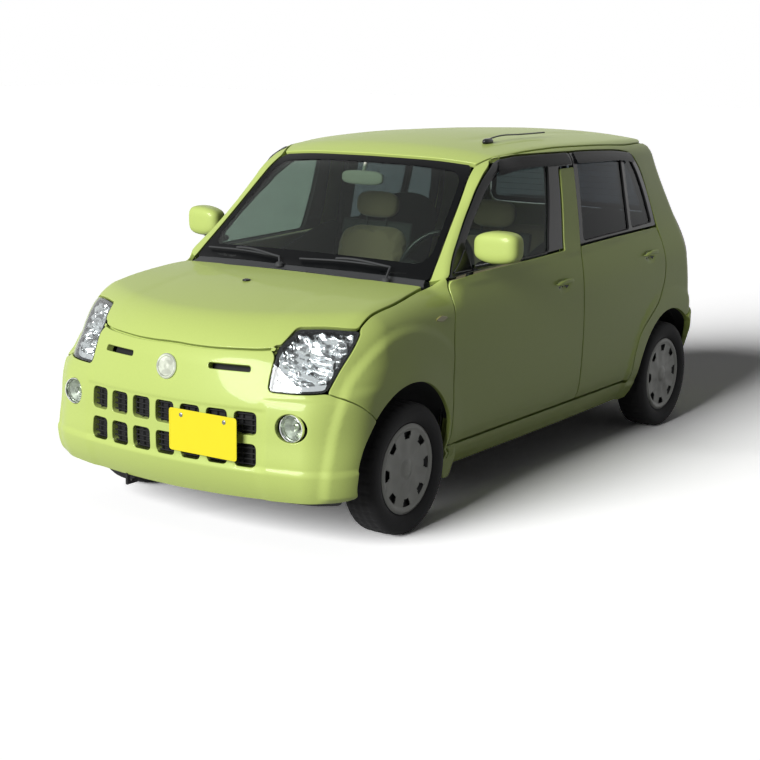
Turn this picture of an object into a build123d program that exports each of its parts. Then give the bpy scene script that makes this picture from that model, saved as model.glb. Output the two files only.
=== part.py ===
"""A five-door kei car: small two-box hatchback with a tall cabin, built panel by panel.

Frame: millimetres, +Z up, the nose towards -Y, the car's left side on +X. The origin is on the ground,
under the centre of the car's length and width. Every panel is cut from one outer skin, which is made
of two lofts in plan (lower body and cabin) trimmed by two lofts across the car (bonnet and roof).
"""
from build123d import *
from math import cos, pi, radians, sin, sqrt, tan
import os

# ---- driving dimensions -------------------------------------------------------------------------
LENGTH, WIDTH, HEIGHT = 3395.0, 1475.0, 1500.0
NOSE, TAIL = -LENGTH / 2, LENGTH / 2
SIDE = WIDTH / 2
WHEELBASE = 2360.0
FRONT_AXLE, REAR_AXLE = -1065.0, -1065.0 + WHEELBASE
TRACK_HALF = 647.5
TYRE_R, TYRE_W, RIM_R = 266.0, 155.0, 165.0
ARCH_Z = 285.0                      # height of the arches' centre
FRONT_ARCH = (-1093.0, 328.0)       # the front arch: y of its centre and radius
REAR_ARCH = (1300.0, 335.0)
FRONT_WELL = (-1082.0, 348.0)       # the front well is wider inside, for the steered wheel
WELL_FRONT, WELL_REAR = 385.0, 545.0  # how far in the wheel wells reach, from the centre line
SKIN = 30.0                         # bumper, wing and quarter panel thickness
FRAME_T = 38.0                      # pillar and window frame thickness
CABIN_HALF = 645.0                  # inner face of the doors
BELT_Z = 990.0                      # top of the doors' thick part
GAP = 9.0                           # panel gap round everything that opens
SEAM = 3.0                          # gap between fixed panels
DOOR_AXIS_X, DOOR_AXIS_IN = 725.0, 30.0   # door hinge line: from the centre line, and behind the front edge
FRONT_DOOR_Y, B_LINE_Y = -760.0, 352.0    # front edges of the front and rear doors
ROOF_END_Y = 1404.0                 # roof panel's rear edge, ahead of the tailgate
KINGPIN_X = 575.0
HUB_Z = TYRE_R
WHEEL_IN, WHEEL_OUT = -62.0, 67.0   # the wheel's inner and outer faces from the tyre's middle
STUB_R, BORE_R = 30.0, 36.0         # hub and the bore in the wheel
COLUMN = 28.0                       # the steering column's rise in degrees

# ---- tables -------------------------------------------------------------------------------------
# Lower body in plan: height z, then the front edge's y at the centre line, its sweep back and corner
# radius, the half width, and the rear edge's y, sweep and corner radius.
LOWER = [
    # z, front, sweep, corner, half, rear, rear sweep, rear corner
    (215, -1640, 75, 240, 690, 1640, 45, 120),
    (300, -1685, 75, 240, 722, 1688, 45, 130),
    (450, -1693, 75, 240, 735, TAIL, 45, 130),
    (600, -1688, 75, 240, SIDE, 1695, 45, 130),
    (680, -1664, 82, 235, 735, 1692, 45, 130),
    (775, -1632, 115, 230, 729, 1688, 45, 130),
    (860, -1580, 142, 225, 718, 1681, 45, 130),
    (1040, -1480, 160, 215, 692, 1628, 45, 120),
]
# Bonnet and belt line across the car: station y, height at the centre line and at the edge, where the
# edge is, and how far the shoulder drops outside it.
SHOULDER = [
    # y, centre z, edge z, edge x, drop
    (-1720, 722, 708, 560, 130),
    (-1637, 774, 760, 580, 125),
    (-1550, 818, 803, 590, 120),
    (-1450, 861, 845, 600, 115),
    (-1350, 894, 877, 605, 110),
    (-1200, 931, 913, 605, 105),
    (-1000, 956, 938, 605, 100),
    (-830, 964, 950, 610, 90),
    (-700, 975, 968, 655, 45),
    (1250, 1040, 1033, 655, 45),
    (1720, 1040, 1033, 645, 45),
]
# Cabin in plan: the same columns as LOWER.
CABIN = [
    (900, -929, 65, 60, 708, 1655, 45, 150),
    (1020, -791, 60, 55, 681, 1632, 45, 160),
    (1180, -606, 52, 50, 655, 1572, 45, 175),
    (1415, -335, 42, 45, 618, 1452, 45, 195),
    (1462, -272, 40, 45, 610, 1414, 45, 195),
    (1510, -150, 38, 45, 602, 1360, 45, 190),
]
# Roof across the car: station y and height at the centre line.
ROOF = [(-1000, 1300), (-420, 1455), (-260, 1486), (-60, 1497), (250, HEIGHT), (520, 1498), (800, 1489),
        (1100, 1474), (1330, 1458), (1500, 1440), (1800, 1400)]
ROOF_CROWN, ROOF_EDGE = 38.0, 530.0   # drop and half width of the roof's crown
RAIL_OUT, RAIL_DROP = 85.0, 75.0      # the rail's rounding outside the crown

# Outlines are lists of (a, b, corner radius): (y, z) from the side, (x, z) from the front or rear,
# (x, y) from above.
FRONT_DOOR = [(-760, 285, 25), (B_LINE_Y - GAP, 285, 15), (B_LINE_Y - GAP, 985, 5), (334, 1010, 5),
              (334, 1447, 15), (-232, 1441, 30),
              (-712, 975, 20), (-760, 945, 20)]
REAR_DOOR = [(B_LINE_Y, 285, 15), (880, 285, 30), (900, 400, 40), (985, 530, 60), (1120, 640, 60),
             (1255, 735, 60), (1325, 860, 40), (1326, 1040, 20), (1150, 1400, 30), (700, 1440, 200),
             (B_LINE_Y, 1447, 15)]
REAR_DOOR_HOLE = [(y + (8 if (y, z) in ((1326, 1040), (1150, 1400)) else 0), z, r) for y, z, r in REAR_DOOR]
FRONT_WINDOW = [(-545, 1002, 15), (215, 1022, 15), (205, 1392, 25), (-190, 1388, 40)]
REAR_WINDOWS = [
    [(425, 1032, 15), (985, 1046, 10), (930, 1372, 10), (402, 1392, 20)],
    [(1025, 1048, 10), (1262, 1056, 15), (1098, 1352, 35), (968, 1370, 10)],
]
BONNET = [(-655, -1100, 60), (-645, -838, 12), (0, -895, 900), (645, -838, 12), (655, -1100, 60),
          (640, -1372, 14), (470, -1442, 14), (440, -1552, 14), (0, -1655, 1200), (-440, -1552, 14),
          (-470, -1442, 14), (-640, -1372, 14)]
STEERING_AT = (330.0, -290.0, 935.0)     # middle of the steering wheel
HEADLAMP = [(440, 640, 20), (642, 640, 16), (682, 868, 16), (470, 868, 25)]
WINDSCREEN = [(-618, 955, 20), (618, 955, 20), (490, 1418, 30), (-490, 1418, 30)]
TAILGATE = [(-600, 598, 40), (600, 598, 40), (604, 980, 60), (520, 1500, 30), (-520, 1500, 30),
            (-604, 980, 60)]
TAIL_WINDOW = [(-520, 1045, 45), (520, 1045, 45), (455, 1380, 40), (-455, 1380, 40)]
TAIL_LAMP = [(610, 700, 15), (790, 700, 15), (790, 985, 15), (610, 985, 15)]
GRILLE_COLUMNS, GRILLE_PITCH, GRILLE_SIZE = 7, 123.5, (86.0, 88.0)
GRILLE_ROWS = (385.0, 500.0)
SLOT_INNER, SLOT_OUTER, SLOT_Z, SLOT_H = 180.0, 360.0, 712.0, 20.0
FOG_X, FOG_Z, FOG_R = 552.0, 505.0, 52.0
PLATE_X, PLATE_Z, PLATE_SIZE, PLATE_HOLES = 197.0, 454.0, (330.0, 165.0), 210.0


# ---- helpers ------------------------------------------------------------------------------------
def loop(start, *steps):
    """A closed face from a start point and steps: a point for a line, or (middle, end) for an arc."""
    edges, at = [], start
    for step in steps:
        if isinstance(step[0], tuple):
            edges.append(ThreePointArc(at, step[0], step[1]))
            at = step[1]
        else:
            edges.append(Line(at, step))
            at = step
    if Vector(*at) != Vector(*start):
        edges.append(Line(at, start))
    return Face(Wire(edges))


def mirrored_loop(half):
    """A closed face symmetric about X = 0 from the steps of its +X half, which start and end on X = 0."""
    def flip(p):
        return (-p[0], p[1], p[2])
    points = [half[0]]
    for step in half[1:]:
        points.append(step[1] if isinstance(step[0], tuple) else step)
    back = []
    for i in range(len(half) - 1, 0, -1):
        step, end = half[i], flip(points[i - 1])
        back.append((flip(step[0]), end) if isinstance(step[0], tuple) else end)
    return loop(half[0], *half[1:], *back)


def plan_section(z, front, sweep, corner, half, rear, rear_sweep, rear_corner, inset=0.0):
    """A level of the body seen from above: a swept front edge, round corners, straight sides."""
    front, rear, half = front + inset, rear - inset, half - inset
    k = sqrt(0.5)
    fx, fy = half - corner, front + sweep
    rx, ry = half - rear_corner, rear - rear_sweep
    return mirrored_loop([
        (0, front, z),
        ((fx * 0.5, front + sweep * 0.25, z), (fx, fy, z)),
        ((fx + corner * k, fy + corner * (1 - k), z), (half, fy + corner, z)),
        (half, ry - rear_corner, z),
        ((rx + rear_corner * k, ry - rear_corner * (1 - k), z), (rx, ry, z)),
        ((rx * 0.5, rear - rear_sweep * 0.25, z), (0, rear, z)),
    ])


def across_section(y, centre_z, edge_z, edge_x, out, drop, low_z, inset=0.0, flare=0.0):
    """A station of the bonnet or the roof: a crowned top, a rounded shoulder and a side that flares."""
    centre_z, edge_z = centre_z - inset, edge_z - inset
    crown = centre_z - edge_z
    k = sqrt(0.5)
    return mirrored_loop([
        (0, y, centre_z),
        ((edge_x * 0.5, y, centre_z - crown * 0.25), (edge_x, y, edge_z)),
        ((edge_x + out * k, y, edge_z - drop * (1 - k)), (edge_x + out, y, edge_z - drop)),
        (edge_x + out + flare * (edge_z - drop - low_z), y, low_z),
        (0, y, low_z),
    ])


def polygon(points, grow=0.0):
    """Corners and radii of an outline, moved outwards by grow."""
    n = len(points)
    area = sum(points[i][0] * points[(i + 1) % n][1] - points[(i + 1) % n][0] * points[i][1]
               for i in range(n))
    turn = 1.0 if area > 0 else -1.0
    lines = []
    for i in range(n):
        (ax, ay, _), (bx, by, _) = points[i], points[(i + 1) % n]
        size = sqrt((bx - ax) ** 2 + (by - ay) ** 2)
        nx, ny = (by - ay) / size * turn, -(bx - ax) / size * turn
        lines.append((nx, ny, nx * ax + ny * ay + grow))
    moved = []
    for i in range(n):
        (a1, b1, c1), (a2, b2, c2) = lines[i - 1], lines[i]
        det = a1 * b2 - a2 * b1
        moved.append(((c1 * b2 - c2 * b1) / det, (a1 * c2 - a2 * c1) / det, points[i][2]))
    return moved


def outline_face(points, place, grow=0.0):
    """The outline as a face, each corner rounded. place turns (a, b) into a point in space."""
    moved = polygon(points, grow)
    n = len(moved)
    steps = []
    for i in range(n):
        (px, py, _), (x, y, r), (qx, qy, _) = moved[i - 1], moved[i], moved[(i + 1) % n]
        din, dout = sqrt((x - px) ** 2 + (y - py) ** 2), sqrt((qx - x) ** 2 + (qy - y) ** 2)
        ux, uy = (px - x) / din, (py - y) / din
        vx, vy = (qx - x) / dout, (qy - y) / dout
        half_cos = sqrt(max(0.0, (1 + ux * vx + uy * vy) / 2))
        half_sin = sqrt(1 - half_cos ** 2)
        reach = min(r * half_cos / half_sin, 0.45 * din, 0.45 * dout)
        bx, by = ux + vx, uy + vy
        size = sqrt(bx * bx + by * by)
        radius = reach * half_sin / half_cos
        depth = radius / half_sin - radius
        first, last = (x + ux * reach, y + uy * reach), (x + vx * reach, y + vy * reach)
        middle = (x + bx / size * depth, y + by / size * depth)
        steps.append((place(*first), place(*middle), place(*last)))
    path = [(steps[0][1], steps[0][2])]
    for first, middle, last in steps[1:]:
        path += [first, (middle, last)]
    path.append(steps[0][0])
    return loop(steps[0][0], *path)


def from_side(points, x0, x1, grow=0.0):
    """An outline in (y, z) carried from x0 to x1."""
    return extrude(outline_face(points, lambda a, b: (x0, a, b), grow), x1 - x0, dir=(1, 0, 0))


def from_front(points, y0, y1, grow=0.0):
    """An outline in (x, z) carried from y0 to y1."""
    return extrude(outline_face(points, lambda a, b: (a, y0, b), grow), y1 - y0, dir=(0, 1, 0))


def from_above(points, z0, z1, grow=0.0):
    """An outline in (x, y) carried from z0 to z1."""
    return extrude(outline_face(points, lambda a, b: (a, b, z0), grow), z1 - z0, dir=(0, 0, 1))


def block(x0, x1, y0, y1, z0, z1):
    """A box between two corners."""
    return Pos((x0 + x1) / 2, (y0 + y1) / 2, (z0 + z1) / 2) * Box(x1 - x0, y1 - y0, z1 - z0)


def both(x0, x1, y0, y1, z0, z1):
    """A box and its mirror image."""
    return block(x0, x1, y0, y1, z0, z1) + block(-x1, -x0, y0, y1, z0, z1)


def rod_x(x0, x1, y, z, r):
    """A cylinder along X."""
    return Pos((x0 + x1) / 2, y, z) * Rot(0, 90, 0) * Cylinder(r, x1 - x0)


def rod_y(x, y0, y1, z, r):
    """A cylinder along Y."""
    return Pos(x, (y0 + y1) / 2, z) * Rot(90, 0, 0) * Cylinder(r, y1 - y0)


def flipped(points):
    """An outline mirrored in its first coordinate."""
    return [(-a, b, r) for a, b, r in points]


def left(shape):
    """The part of a shape on the car's left."""
    return shape & block(0, 1200, -2000, 2000, -100, 1700)


def right(shape):
    """The part of a shape on the car's right."""
    return shape & block(-1200, 0, -2000, 2000, -100, 1700)


def tidy(shape, least=2000.0):
    """A shape's solids without crumbs smaller than least, in cubic millimetres."""
    kept = [s for s in shape.solids() if s.volume > least]
    return kept[0] if len(kept) == 1 else Compound(children=kept)


def gather(*shapes):
    """Several shapes as one compound of solids."""
    return Compound(children=[solid for shape in shapes for solid in shape.solids()])


def rod_between(a, b, r):
    """A cylinder from one point to another."""
    a, b = Vector(*a), Vector(*b)
    plane = Plane(origin=a, z_dir=(b - a))
    return extrude(plane * Circle(r), (b - a).length)


# ---- the outer skin -----------------------------------------------------------------------------
def lower_body(inset=0.0):
    """Body below the belt line: the plan loft trimmed by the bonnet's loft."""
    wall = loft([plan_section(*row, inset=inset) for row in LOWER], ruled=True)
    top = loft([across_section(y, zc, ze, ex, SIDE + 10 - ex, drop, 100, inset)
                for y, zc, ze, ex, drop in SHOULDER], ruled=True)
    return wall & top


def cabin(inset=0.0):
    """Cabin above the belt line: the plan loft trimmed by the roof's loft."""
    wall = loft([plan_section(*row, inset=inset) for row in CABIN], ruled=True)
    top = loft([across_section(y, zc, zc - ROOF_CROWN, ROOF_EDGE, RAIL_OUT, RAIL_DROP, 850, inset, 0.32)
                for y, zc in ROOF], ruled=True)
    return wall & top


def wheel_wells():
    """The space for the wheels, open to the sides."""
    front, wide, rear = FRONT_ARCH, FRONT_WELL, REAR_ARCH
    wells = None
    for s in (1, -1):
        for x0, x1, (y, r) in ((WELL_FRONT, 640, wide), (630, 900, front), (WELL_REAR, 900, rear)):
            rod = rod_x(min(s * x0, s * x1), max(s * x0, s * x1), y, ARCH_Z, r)
            wells = rod if wells is None else wells + rod
    return wells


def shell():
    """The outer skin with the cabin, the engine bay and the wheel wells taken out."""
    outer = lower_body() + cabin()
    inner_low = lower_body(SKIN)
    inner_up = cabin(FRAME_T)
    saloon = lower_body(36) & block(-CABIN_HALF, CABIN_HALF, -716, TAIL, -10, BELT_Z)
    upper = inner_up & (block(-CABIN_HALF, CABIN_HALF, -900, 1700, 880, BELT_Z)
                        + block(-800, 800, -900, 1700, BELT_Z, 1600))
    bay = inner_low & (block(-800, 800, -1700, -716, 655, 1200)
                       + block(-WELL_FRONT + 20, WELL_FRONT - 20, -1700, -716, 0, 700)
                       + block(-800, 800, -1700, -1440, 245, 700))
    under = block(-WELL_FRONT + 20, WELL_FRONT - 20, -1600, -690, 0, 300)
    below = block(-CABIN_HALF, CABIN_HALF, -716, 1600, 100, 300)
    return outer - saloon - upper - bay - under - below - wheel_wells()


# ---- inside -------------------------------------------------------------------------------------
def inside():
    """Floor, firewall, seats, dashboard, engine and the rest of what shows through glass or below."""
    made = {}
    hull = lower_body(37)
    floor = block(-643, 643, -714, 700, 215, 235) + block(-643, 643, 690, 702, 215, 400) \
        + (block(-643, 643, 700, 1600, 388, 400) & hull)
    y, r = REAR_ARCH
    for s in (1, -1):
        near, far = sorted((s * WELL_REAR, s * 643))
        floor = floor - rod_x(near, far, y, ARCH_Z, r)
        tub = rod_x(min(s * 533, s * 643), max(s * 533, s * 643), y, ARCH_Z, r + 12)
        floor = floor + ((tub - rod_x(near, far, y, ARCH_Z, r)) & block(-643, 643, 700, 1600, 240, 700) & hull)
    floor = floor - both(400, 560, 1190, 1360, 200, 386)
    made["floor_pan"] = floor + block(-631, 631, -714, -700, 215, 900)
    made["centre_pillars"] = gather(*[
        block(min(s * 585, s * 628), max(s * 585, s * 628), 292, 402, 236, 985)
        + loop_pillar(s) for s in (1, -1)])
    seats = []
    for s in (1, -1):
        c = s * 320
        seats.append(block(c - 230, c + 230, -430, 60, 400, 545) + block(c - 200, c + 200, -380, 60, 300, 410)
                     + extrude(Face(Wire(Polyline((c - 225, -10, 500), (c - 225, 110, 490), (c - 225, 250, 1085),
                                                  (c - 225, 165, 1085), close=True))), 450, dir=(1, 0, 0))
                     + block(c - 125, c + 125, 165, 260, 1060, 1225))
        for x in (c - 190, c + 160):
            seats[-1] = seats[-1] + block(x, x + 30, -360, 40, 236, 305)
    made["front_seats"] = gather(*seats)
    made["rear_seat"] = block(-520, 520, 560, 1040, 402, 530) \
        + extrude(Face(Wire(Polyline((-520, 960, 500), (-520, 1060, 480), (-520, 1180, 1010), (-520, 1080, 1010),
                                     close=True))), 1040, dir=(1, 0, 0))
    dash = extrude(Face(Wire(Polyline((-632, -698, 640), (-632, -500, 640), (-632, -440, 760), (-632, -460, 860),
                                      (-632, -560, 905), (-632, -698, 905), close=True))), 1264, dir=(1, 0, 0))
    cx, cy, cz = STEERING_AT
    dy, dz = cos(radians(COLUMN)), sin(radians(COLUMN))
    dash = dash + rod_between((cx, cy - 160 * dy, cz - 160 * dz), (cx, cy - 62 * dy, cz - 62 * dz), 42)
    made["dashboard"] = dash + block(-70, 70, -480, -200, 300, 400) + block(-60, 60, -560, -440, 390, 700)
    rim_plane = Plane(origin=STEERING_AT, z_dir=(0, dy, dz))
    rim = rim_plane * (Pos(0, 0, 0) * Torus(178, 14))
    spokes = rim_plane * (Box(340, 34, 12) + Pos(0, -88, 0) * Box(34, 170, 12) + Pos(0, 0, -18) * Cylinder(52, 60))
    made["steering_wheel"] = rim + spokes
    made["engine"] = block(-330, 250, -1330, -860, 270, 650)
    made["radiator"] = block(-285, 285, -1428, -1400, 290, 640)
    made["exhaust"] = rod_y(-60, -840, 1500, 180, 22) + rod_x(-250, 250, 1490, 262, 72) \
        + rod_y(-230, 1490, 1600, 240, 20)
    made["fuel_tank"] = block(-400, 400, 735, 1020, 210, 380)
    x, z = PLATE_X, PLATE_Z
    plate = block(x - PLATE_SIZE[0] / 2, x + PLATE_SIZE[0] / 2, NOSE, NOSE + 2.5, z - PLATE_SIZE[1] / 2,
                  z + PLATE_SIZE[1] / 2)
    for s in (1, -1):
        plate = plate - rod_y(x + s * PLATE_HOLES / 2, NOSE - 5, NOSE + 5, z + 60, 3.5)
    made["front_plate"] = plate
    eyes = [block(x0 - 5, x0 + 5, min(y0, y1), max(y0, y1), 168, 214.5) - rod_x(x0 - 9, x0 + 9, hole, 194, 15)
            for x0, y0, y1, hole in ((-255, -1630, -1570, -1600), (255, 1570, 1630, 1600))]
    made["tow_eyes"] = gather(*eyes)
    return made


def loop_pillar(s):
    """The centre pillar above the belt line, which leans in with the side windows."""
    skin = cabin(57) - cabin(85)
    x0, x1 = sorted((s * 510, s * 800))
    return skin & block(x0, x1, 302, 380, 975, 1388)


# ---- wheels, axles and brakes -------------------------------------------------------------------
def ring(points, x, y):
    """A solid turned about the wheel's axis from (offset, radius) points, with the hub at x, y."""
    s = 1 if x > 0 else -1
    face = Face(Wire(Polyline(*[(x + s * a, y, HUB_Z + r) for a, r in points], close=True)))
    return revolve(face, Axis((x, y, HUB_Z), (1, 0, 0)), 360)


def running_gear():
    """Tyres, wheels, front knuckles, front suspension and rear axle."""
    made = {}
    tyre = [(-51, 169), (-55, 186), (-77.5, 216), (-74, 246), (-62, 261), (-40, 266), (40, 266), (62, 261),
            (74, 246), (77.5, 216), (55, 186), (51, 169)]
    wheel = [(-62, 152), (-62, 180), (-57, 180), (-53, 167), (53, 167), (57, 180), (60, 183), (WHEEL_OUT, 176),
             (60, 120), (58, 60), (WHEEL_OUT, 30), (WHEEL_OUT, 0), (42, 0), (42, BORE_R), (24, BORE_R), (24, 100),
             (36, 140), (30, 152)]
    for name, x, y in (("front_left", TRACK_HALF, FRONT_AXLE), ("front_right", -TRACK_HALF, FRONT_AXLE),
                       ("rear_left", TRACK_HALF, REAR_AXLE), ("rear_right", -TRACK_HALF, REAR_AXLE)):
        made[f"tyre_{name}"] = ring(tyre, x, y)
        made[f"wheel_{name}"] = ring(wheel, x, y)
    for s, side in ((1, "left"), (-1, "right")):
        def span(a, b, *rest):
            return min(s * a, s * b), max(s * a, s * b), *rest
        x0, x1 = span(545, 600)
        knuckle = block(x0, x1, FRONT_AXLE - 38, FRONT_AXLE + 38, 188, 352)
        x0, x1 = span(590, 683)
        knuckle = knuckle + rod_x(x0, x1, FRONT_AXLE, HUB_Z, STUB_R)
        x0, x1 = span(602, 616)
        knuckle = knuckle + rod_x(x0, x1, FRONT_AXLE, HUB_Z, 118)
        made[f"knuckle_{side}"] = knuckle + Pos(s * 530, FRONT_AXLE, 434) * Cylinder(24, 212)
    front = block(-350, 350, -1130, -1000, 188, 212)
    for s in (1, -1):
        x0, x1 = min(s * 340, s * 518), max(s * 340, s * 518)
        front = front + block(x0, x1, FRONT_AXLE - 45, FRONT_AXLE + 45, 186, 204)
    springs = [Pos(s * 525, FRONT_AXLE, 584) * Cylinder(48, 72) for s in (1, -1)]
    made["front_suspension"] = gather(front, *springs)
    beam = rod_x(-683, 683, REAR_AXLE, HUB_Z, STUB_R) + rod_x(-630, -590, REAR_AXLE, HUB_Z, 112) \
        + rod_x(590, 630, REAR_AXLE, HUB_Z, 112)
    for s in (1, -1):
        x0, x1 = min(s * 440, s * 490), max(s * 440, s * 490)
        beam = beam + block(x0, x1, 860, REAR_AXLE, 240, 280)
        beam = beam + Pos(s * 455, REAR_AXLE - 30, 325) * Cylinder(48, 120)
    made["rear_axle"] = beam
    return made


def doors_furniture():
    """Door mirrors."""
    made = {}
    for s, side in ((1, "left"), (-1, "right")):
        head = block(min(s * 712, s * 872), max(s * 712, s * 872), -565, -470, 1030, 1145)
        head = fillet(head.edges(), 22)
        arm = block(min(s * 686, s * 760), max(s * 686, s * 760), -545, -490, 1005, 1045)
        made[f"mirror_{side}"] = head + arm
    return made


def side_pane(hole, s):
    """A flat window pane just inside the skin, in the plane that the cabin's side leans in."""
    (low_z, _, _, _, low_x, *_), (high_z, _, _, _, high_x, *_) = CABIN[1], CABIN[3]
    lean = (low_x - high_x) / (high_z - low_z)
    face = outline_face(hole, lambda a, b: (s * (low_x - 4 - lean * (b - low_z)), a, b), -1)
    size = sqrt(1 + lean * lean)
    return extrude(face, 4, dir=(-s / size, 0, -lean / size))


# ---- panels -------------------------------------------------------------------------------------
def main():
    os.makedirs("parts", exist_ok=True)
    made = {}
    body = shell()
    outer_low = lower_body()

    # bonnet: the top skin inside its outline
    bonnet_zone = from_above(BONNET, 640, 1200)
    made["bonnet"] = (outer_low - lower_body(22)) & from_above(BONNET, 640, 1200, -GAP / 2) \
        & block(-800, 800, -1700, -835, 700, 1200)
    rest = body - (from_above(BONNET, 640, 1200, GAP / 2) & block(-800, 800, -1800, -700, 690, 1200))

    # headlamps
    lights = []
    for name, pts in (("headlamp_left", HEADLAMP), ("headlamp_right", flipped(HEADLAMP))):
        zone = from_front(pts, -1800, -1290, -SEAM)
        lights.append(((outer_low - lower_body(70)) & zone) - from_above(BONNET, 640, 1200, GAP))
        rest = rest - from_front(pts, -1800, -1290)

    # front bumper with its grille, slots and lamp recesses
    low_front = block(-800, 800, -1800, -1432, 100, 640)
    nose_front = block(-452, 452, -1800, -1432, 100, 800)
    bumper = rest & (low_front + nose_front)
    rest = rest - block(-803, 803, -1803, -1432 + SEAM, 90, 640 + SEAM) - block(-455, 455, -1803, -1432 + SEAM, 90, 803)
    w, h = GRILLE_SIZE
    for z in GRILLE_ROWS:
        for i in range(GRILLE_COLUMNS):
            x = (i - (GRILLE_COLUMNS - 1) / 2) * GRILLE_PITCH
            square = [(x - w / 2, z - h / 2, 16), (x + w / 2, z - h / 2, 16), (x + w / 2, z + h / 2, 16),
                      (x - w / 2, z + h / 2, 16)]
            bumper = bumper - from_front(square, -1800, -1500)
    for s in (1, -1):
        a, b = sorted((s * SLOT_INNER, s * SLOT_OUTER))
        slot = [(a, SLOT_Z - SLOT_H / 2, 6), (b, SLOT_Z - SLOT_H / 2, 6), (b, SLOT_Z + SLOT_H / 2, 6),
                (a, SLOT_Z + SLOT_H / 2, 6)]
        bumper = bumper - from_front(slot, -1800, -1500) - rod_y(s * FOG_X, -1800, -1480, FOG_Z, FOG_R)
    made["front_bumper"] = bumper
    lights += [outer_low & rod_y(s * FOG_X, -1800, -1545, FOG_Z, FOG_R - 2) for s in (1, -1)]
    made["front_lamps"] = gather(*lights)

    # windscreen, doors and tailgate come out of what is left
    made["windscreen"] = ((cabin(2) - cabin(8)) & from_front(WINDSCREEN, -1000, -230, -SEAM)
                          & block(-800, 800, -1000, -250, 900, 1500))
    rest = rest - from_front(WINDSCREEN, -1100, -235)
    for side, name in ((1, "left"), (-1, "right")):
        x0, x1 = (545, 900) if side > 0 else (-900, -545)
        h0, h1 = (534, 900) if side > 0 else (-900, -534)
        low = sorted((side * 500, side * CABIN_HALF))
        for which, pts, holes in (("front", FRONT_DOOR, [FRONT_WINDOW]), ("rear", REAR_DOOR, REAR_WINDOWS)):
            door = (body & from_side(pts, x0, x1)) - block(*low, -800, 1400, 200, BELT_Z)
            panes = []
            for hole in holes:
                door = door - from_side(hole, x0, x1)
                panes.append(side_pane(hole, side))
            made[f"door_{which}_{name}"] = door
            made[f"door_glass_{which}_{name}"] = gather(*panes)
            rest = rest - from_side(pts if which == "front" else REAR_DOOR_HOLE, h0, h1, GAP)
    tail = body & from_front(TAILGATE, 1250, 1800) & block(-800, 800, ROOF_END_Y + 10, 1800, 500, 1600)
    made["tailgate"] = tail - from_front(TAIL_WINDOW, 1250, 1800)
    made["tailgate_glass"] = (cabin(4) - cabin(8)) & from_front(TAIL_WINDOW, 1300, 1800, -1)
    rest = rest - (from_front(TAILGATE, 1250, 1800, GAP) & block(-800, 800, ROOF_END_Y, 1800, 500, 1600))

    made["roof"] = rest & block(-530, 530, -345, ROOF_END_Y, 1380, 1600)
    rest = rest - block(-530 - SEAM, 530 + SEAM, -360, ROOF_END_Y + 40, 1380, 1600)
    rear_low = block(-800, 800, 1560, 1800, 100, 590)
    made["rear_bumper"] = rest & rear_low
    rest = rest - block(-803, 803, 1560 - SEAM, 1800, 90, 590 + SEAM)
    tails = []
    for pts in (TAIL_LAMP, flipped(TAIL_LAMP)):
        tails.append(rest & from_front(pts, 1490, 1800, -SEAM))
        rest = rest - from_front(pts, 1487, 1800)
    made["tail_lamps"] = gather(*tails)
    cowl = rest & block(-640, 640, -900, -700, 900, 1000)
    rest = rest - block(-640, 640, -900, -690, 900, 1000)
    made["front_wings"] = (rest & both(360, 800, -1800, FRONT_DOOR_Y - SEAM, 100, 1100)) \
        - both(300, 400, FRONT_AXLE - 60, FRONT_AXLE + 60, 100, 225)
    sides = rest - block(-800, 800, -1800, FRONT_DOOR_Y, 0, 1400)
    made["body_side_left"], made["body_side_right"] = left(sides), right(sides)

    made["cowl"] = cowl
    made.update(inside())
    made.update(running_gear())
    made.update(doors_furniture())

    for name, shape in made.items():
        shape = tidy(shape)
        bb = shape.bounding_box()
        print(name, len(shape.solids()), round(shape.volume), [round(v) for v in (*bb.min, *bb.max)])
        export_step(shape, f"parts/{name}.step")


if __name__ == "__main__":
    main()
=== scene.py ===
"""Looks of a five-door kei hatchback: painted panels, glass, lamps, wheels, seats and trim.

Frame: metres, +Z up, the nose towards -Y, the car's left side on +X. Every outer panel is an outline
on a sheet that wraps the car; rays from inside carry it out to one outer form, the Skin, whose depth
is a formula of the point. Panels of the right side are the left ones mirrored in X.
"""
import logging
import math
from dataclasses import dataclass, field
from enum import Enum
from typing import Callable, Optional, Sequence

import bpy
import numpy as np
from mathutils import Matrix, Vector
from mathutils.geometry import delaunay_2d_cdt


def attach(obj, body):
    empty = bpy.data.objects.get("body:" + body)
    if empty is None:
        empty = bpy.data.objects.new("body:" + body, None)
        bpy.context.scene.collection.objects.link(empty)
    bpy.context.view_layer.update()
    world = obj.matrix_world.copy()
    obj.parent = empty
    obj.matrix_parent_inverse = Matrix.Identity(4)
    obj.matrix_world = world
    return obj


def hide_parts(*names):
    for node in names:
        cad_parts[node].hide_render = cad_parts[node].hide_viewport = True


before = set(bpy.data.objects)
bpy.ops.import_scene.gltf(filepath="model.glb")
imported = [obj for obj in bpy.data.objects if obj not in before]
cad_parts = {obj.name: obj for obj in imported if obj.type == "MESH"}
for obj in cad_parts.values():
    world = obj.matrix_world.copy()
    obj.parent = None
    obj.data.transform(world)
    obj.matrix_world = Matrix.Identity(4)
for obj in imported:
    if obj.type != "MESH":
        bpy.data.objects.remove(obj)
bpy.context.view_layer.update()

LOG = logging.getLogger("kei_car")
Array = np.ndarray
Pairs = Sequence[Sequence[float]]

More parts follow.
